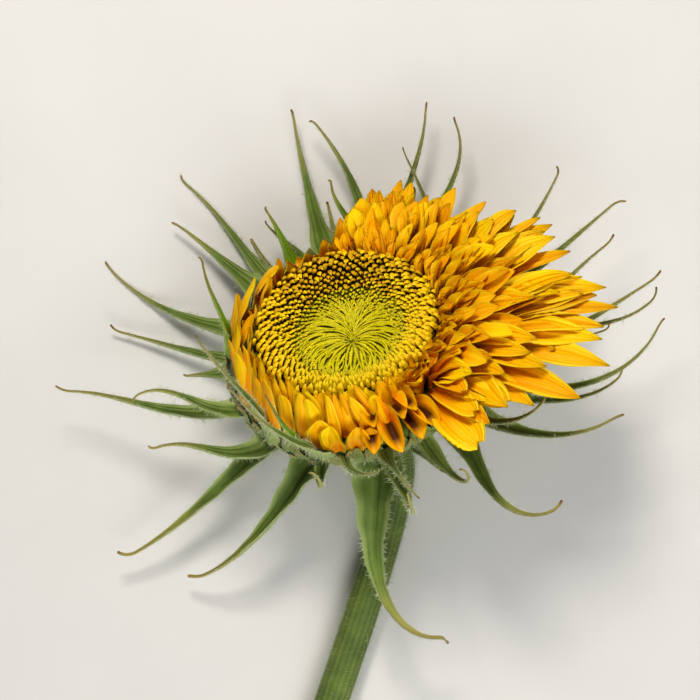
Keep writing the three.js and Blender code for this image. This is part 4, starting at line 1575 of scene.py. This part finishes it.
# The longest rays, at the right.
LONG_RAYS = (
    (23, 42, -7, 21, 80, 8, 50, 5, 10.0, 0.5, 0.2, 0.12, 12, 0.20, 2),
    (13, 42, -7, 11, 82, 8, 50, 10, 10.5, 0.5, 0.2, 0.12, -14, 0.20, 1),
    (2, 42, -7, -1, 92, 7, 50, -5, 11.0, 0.5, 0.2, 0.14, 16, 0.24, 2),
    (-6, 42, -7, -6, 96, 6, 45, 5, 10.5, 0.6, 0.2, 0.12, -14, 0.20, 1),
    (-12, 42, -7, -14, 92, 5, 45, -5, 11.5, 0.5, 0.2, 0.14, 12, 0.22, 3),
    (-19, 42, -7, -20, 97, 4, 45, 0, 12.0, 0.5, 0.2, 0.14, -12, 0.22, 2),
    (-27, 42, -7, -29, 92, 3, 40, -5, 12.0, 0.5, 0.2, 0.14, 14, 0.24, 1),
    (-34, 42, -7, -35, 79, 3, 40, 0, 11.5, 0.6, 0.2, 0.14, -12, 0.20, 2),
)
# Six that stand edge-on in a fan, near the scoops.
FAN = tuple(
    (azimuth, 34.5, -2, azimuth + 4, 40, 9, 75, 60, 6.5, 0.7, 0.2, 0.05, 80, 0.04, 1)
    for azimuth in range(-54, -30, 4)
)


@dataclass
class Rays:
    """All the ray florets: the open side's overlapping rows, the closed side's wall, and the odd ones.

    The sizes in the tables are those of a ray before its own chance is added.
    """

    head: Head
    small_skins: list[bpy.types.Material]
    large_skins: list[bpy.types.Material]
    # first and last azimuth, place from the disc's rim (0) to the outermost row (1), pitch, width
    rows: tuple[tuple[float, float, float, float, float], ...] = (
        (-66, 96, 0.00, 3.0, 3.2),
        (-62, 94, 0.11, 3.7, 4.0),
        (-60, 91, 0.24, 4.6, 4.9),
        (-56, 89, 0.38, 5.6, 5.8),
        (-50, 88, 0.50, 6.6, 6.8),
        (-47, 87, 0.62, 7.6, 7.8),
        (-46, 84, 0.74, 8.4, 9.0),
        (-43, 85, 0.87, 9.2, 10.0),
        (-46, 84, 0.97, 9.8, 11.0),
    )
    # first and last azimuth, base radius and height, tip radius and height, pitch, width, and how far the
    # tips lean round the head
    wall_rows: tuple[tuple[float, ...], ...] = (
        (196, 314, 34.8, -3.0, 33.2, 7.0, 2.7, 2.9, 0),
        (192, 314, 37.5, -5.0, 34.6, 10.0, 3.3, 3.7, -2),
        (196, 300, 41.0, -7.0, 36.6, 12.5, 4.2, 4.8, -3),
        (206, 290, 44.4, -9.2, 39.4, 12.0, 5.4, 6.2, -4),
        (152, 200, 36.0, -4.0, 34.4, 7.0, 4.4, 4.4, -7),
        (158, 214, 42.5, -8.0, 38.0, 13.0, 6.2, 5.8, -10),
        (92, 152, 36.0, -4.0, 35.0, 4.0, 3.2, 3.2, 0),
        (94, 168, 38.6, -6.0, 38.4, 0.5, 3.8, 4.0, 0),
        (94, 172, 41.6, -7.6, 42.2, -2.0, 4.4, 4.6, 0),
    )

    def open_row(self, entry: tuple[float, ...], rng: np.random.Generator) -> RayTable:
        """One row of the open side.

        The tips' radius and height are quadratics through the disc's rim, the crown and the reach. The
        outer a row is, the lower it springs from the cup, the flatter it lies and the more it is pleated.

        Args:
            entry: First and last azimuth, place, pitch and width.
            rng: The source of chance.

        Returns:
            The row's rays.
        """
        first, last, place, pitch, width = entry
        middle_radius = 36 + 30 * place
        number = int(math.radians(last - first) * middle_radius / pitch)
        stagger = rng.uniform(-0.3, 0.3, number)
        azimuth = first + (last - first) * (np.arange(number) + 0.5 + stagger) / number
        crown_radius, crown_height, reach_radius, reach_height = ray_keys(azimuth)
        s = np.clip(place + rng.uniform(-0.05, 0.03, number), 0, 1)
        tip_radius = through(36.5, crown_radius, reach_radius, s)
        tip_height = through(6.5, crown_height, reach_height, s) + rng.uniform(-1.4, 1.2, number)
        far = smooth(azimuth, 30.0, 70.0)
        return RayTable(
            azimuth=azimuth,
            base_radius=33.2 + 10.3 * s,
            base_height=0.5 - 8 * s,
            tip_azimuth=azimuth + rng.uniform(-6.5, 6.5, number) * (1 + 0.5 * s),
            tip_radius=tip_radius,
            tip_height=tip_height,
            base_rise=85 - 30 * s + 15 * far,
            tip_rise=55 - 55 * s + 30 * far * s + rng.uniform(-12, 12, number),
            width=width * rng.uniform(0.85, 1.15, number),
            roll=rng.uniform(0.4, 1.1, number) * (1.3 - 0.7 * s),
            fold=(0.8 - 0.6 * s) * rng.uniform(0.3, 1.1, number),
            pleat=(0.05 + 0.17 * s) * rng.uniform(0.5, 1.3, number),
            twist=rng.uniform(-30, 30, number),
            wave=rng.uniform(0.05, 0.17, number) * (1 + 1.1 * s),
            tone=np.where(
                rng.random(number) < 0.6 * far,
                Tone.DEEP,
                rng.choice(PLAIN_TONES, number, p=[0.3, 0.4, 0.22, 0.08]),
            ),
        )

    def build_open(self) -> None:
        """Makes the open side in three pieces, from small folded rays to long pleated ones."""
        rng = np.random.default_rng(31)
        small = RayShape(
            rows=10, count=7, foot=0.6, peak=0.55, fullness=2.8, point=0.62, thickness=0.35, painted_root_shade_share=0.3,
        )
        middle = RayShape(
            rows=12, count=9, foot=0.45, peak=0.6, fullness=2.6, point=0.7, thickness=0.4, painted_root_shade_share=0.3,
        )
        large = RayShape(
            rows=18, count=15, foot=0.35, peak=0.5, fullness=2.3, point=0.85, thickness=0.45, painted_root_shade_share=0.3,
            pleats=3.0,
        )
        groups = (
            ("rays_inner", small, self.small_skins, self.rows[:3], ["rays_far_right"]),
            ("rays_middle", middle, self.small_skins, self.rows[3:6], ["rays_right_near", "rays_right_far"]),
            ("rays_outer", large, self.large_skins, self.rows[6:], ["rays_right", "rays_far"]),
        )
        for name, shape, skins, rows, nodes in groups:
            stacks = [self.open_row(entry, rng).stack(self.head, shape, rng) for entry in rows]
            piece = write_piece(name, stacks, skins)
            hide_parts(*nodes)

    def wall_row(self, entry: tuple[float, ...], rng: np.random.Generator) -> RayTable:
        """One row of the closed side's wall, whose rays stand up from the cup's ledge and lean in.

        Args:
            entry: First and last azimuth, base radius and height, tip radius and height, pitch, width and
                how far the tips lean round the head.
            rng: The source of chance.

        Returns:
            The row's rays.
        """
        first, last, base_radius, base_height, tip_radius, tip_height, pitch, width, lean = entry
        middle_radius = 42
        number = max(2, int(math.radians(last - first) * middle_radius / pitch))
        stagger = rng.uniform(-0.35, 0.35, number)
        azimuth = first + (last - first) * (np.arange(number) + 0.5 + stagger) / number
        return RayTable(
            azimuth=azimuth,
            base_radius=base_radius + rng.uniform(-0.6, 0.6, number),
            base_height=np.full(number, base_height),
            tip_azimuth=azimuth + lean + rng.uniform(-5, 5, number),
            tip_radius=tip_radius + rng.uniform(-1.6, 1.2, number),
            tip_height=tip_height + rng.uniform(-4.0, 2.5, number),
            base_rise=82 + rng.uniform(-6, 6, number),
            tip_rise=104 + rng.uniform(-16, 12, number),
            width=width * rng.uniform(0.8, 1.25, number),
            roll=rng.uniform(0.2, 1.0, number),
            fold=rng.uniform(0.1, 0.7, number),
            pleat=0.13 * rng.uniform(0.3, 1.3, number),
            twist=rng.uniform(-28, 28, number),
            wave=rng.uniform(0.05, 0.2, number),
            tone=rng.choice(PLAIN_TONES, number, p=[0.2, 0.4, 0.34, 0.06]),
        )

    def build_wall(self) -> None:
        """Makes the closed side: dense near the stem, and sparse round the left to the far side."""
        rng = np.random.default_rng(32)
        shape = RayShape(
            rows=12, count=9, foot=0.75, peak=0.45, fullness=2.2, point=0.72, thickness=0.4, painted_root_shade_share=0.2,
            pleats=3.0,
        )
        stacks = [self.wall_row(entry, rng).stack(self.head, shape, rng) for entry in self.wall_rows]
        piece = write_piece("rays_closed", stacks, self.small_skins)
        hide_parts("rays_far_left", "rays_left", "rays_near_left", "rays_near")

    def odd_rays(self, entries: tuple[tuple[float, ...], ...]) -> RayTable:
        """Rays that are placed one by one.

        Args:
            entries: A value for each of RayTable's fields, for each ray.

        Returns:
            The rays.
        """
        columns = np.array(entries, float).T
        return RayTable(*columns[:-1], columns[-1].astype(int))

    def build_odd(self) -> None:
        """Makes the rays that are placed one by one: a piece of small ones and a piece of the longest."""
        rng = np.random.default_rng(33)
        scoop = RayShape(
            rows=14, count=11, foot=0.5, peak=0.6, fullness=2.6, point=0.7, thickness=0.45, painted_root_shade_share=0.3,
        )
        stray = RayShape(
            rows=14, count=9, foot=0.5, peak=0.5, fullness=2.2, point=0.8, thickness=0.4, painted_root_shade_share=0.2,
        )
        wide = RayShape(
            rows=20, count=17, foot=0.25, peak=0.66, fullness=2.8, point=0.6, thickness=0.45, painted_root_shade_share=0.25,
            pleats=3.0, notch=2.2,
        )
        longest = RayShape(
            rows=22, count=15, foot=0.35, peak=0.55, fullness=2.0, point=0.9, thickness=0.45, painted_root_shade_share=0.3,
            pleats=3.0,
        )
        small = ((SCOOPS, scoop), (SHELLS, scoop), (STRAYS + FAN, stray))
        stacks = [self.odd_rays(entries).stack(self.head, shape, rng) for entries, shape in small]
        piece = write_piece("rays_odd", stacks, self.small_skins)
        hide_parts("rays_lower_right")
        large = ((WAVY_RAYS, wide), (LONG_RAYS, longest))
        stacks = [self.odd_rays(entries).stack(self.head, shape, rng) for entries, shape in large]
        piece = write_piece("rays_longest", stacks, self.large_skins)

    def build(self) -> None:
        """Makes every ray."""
        self.build_open()
        self.build_wall()
        self.build_odd()


# ---- The setting ----------------------------------------------------------------------------


@dataclass
class Studio:
    """A plain pale floor, soft lamps and a camera straight above the bloom."""

    head: Head
    floor_reach: float = 6.0  # in metres
    camera_place: tuple[float, float, float] = (0.7, -7.35, 1020.0)  # from the head's centre
    lens: float = 150.0
    sensor: float = 36.0
    sky_strength: float = 0.25
    # each lamp's name, its place from the head's centre, its side, its power in watts and its colour
    lamps: tuple[tuple[str, tuple[float, float, float], float, float, str], ...] = (
        ("key_lamp", (-120, 470, 650), 200, 4.6, "#FFFAF2"),
        ("side_lamp", (650, 100, 420), 500, 0.9, "#F4F8FF"),
        ("front_lamp", (150, -650, 650), 500, 4.2, "#FFFFFF"),
    )

    def build_floor(self) -> None:
        """Makes the floor: one square, at the level that the plant lies on."""
        paint = PlainTissue("floor_matt_paint", "#D6D4D0", "#D2D0CC", 60.0, 0.02, roughness=0.9)
        reach = self.floor_reach
        mesh = bpy.data.meshes.new("floor")
        corners = [(-reach, -reach, 0), (reach, -reach, 0), (reach, reach, 0), (-reach, reach, 0)]
        mesh.from_pydata(corners, [], [(0, 1, 2, 3)])
        mesh.materials.append(paint.material())
        floor = bpy.data.objects.new("floor", mesh)
        bpy.context.scene.collection.objects.link(floor)

    def add_lamp(
        self, name: str, place: tuple[float, float, float], size: float, power: float, colour: str,
    ) -> None:
        """Adds a square soft lamp that faces the head.

        Args:
            name: The lamp's name.
            place: Where it stands from the head's centre, in millimetres.
            size: Its side, in millimetres.
            power: Its power, in watts.
            colour: Its sRGB colour.
        """
        lamp = bpy.data.lights.new(name, "AREA")
        lamp.size = size * MM
        lamp.energy = power
        lamp.color = linear(colour)[:3]
        lamp_object = bpy.data.objects.new(name, lamp)
        stand = Vector(place) * MM
        lamp_object.location = Vector(self.head.centre * MM) + stand
        lamp_object.rotation_euler = stand.to_track_quat("Z", "Y").to_euler()
        bpy.context.scene.collection.objects.link(lamp_object)

    def build(self) -> None:
        """Makes the floor, the lamps, the sky and the camera."""
        self.build_floor()
        for lamp in self.lamps:
            self.add_lamp(*lamp)
        scene = bpy.context.scene
        world = bpy.data.worlds.new("studio_air")
        world.use_nodes = True
        backdrop = world.node_tree.nodes["Background"]
        backdrop.inputs["Color"].default_value = linear("#E6E8EC")
        backdrop.inputs["Strength"].default_value = self.sky_strength
        scene.world = world
        scene.view_settings.view_transform = "Standard"
        scene.view_settings.look = "Medium High Contrast"
        camera = bpy.data.cameras.new("camera")
        camera.lens = self.lens
        camera.sensor_width = self.sensor
        camera.clip_start = 10 * MM
        camera_object = bpy.data.objects.new("camera", camera)
        camera_object.location = (self.head.centre + np.array(self.camera_place)) * MM
        scene.collection.objects.link(camera_object)
        scene.camera = camera_object


def main() -> None:
    """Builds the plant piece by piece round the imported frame, then the setting."""
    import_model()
    head = Head()
    Stem(head).build()
    Cup(head).build()
    Bracts(head).build()
    FloretDisc(head).build()
    small_skins = petal_materials("small", pleats=4.0, relief=0.13)
    large_skins = petal_materials("large", pleats=8.0, relief=0.22)
    Rays(head, small_skins, large_skins).build()
    Studio(head).build()


if __name__ == "__main__":
    logging.basicConfig(level=logging.INFO, format="%(message)s")
    main()
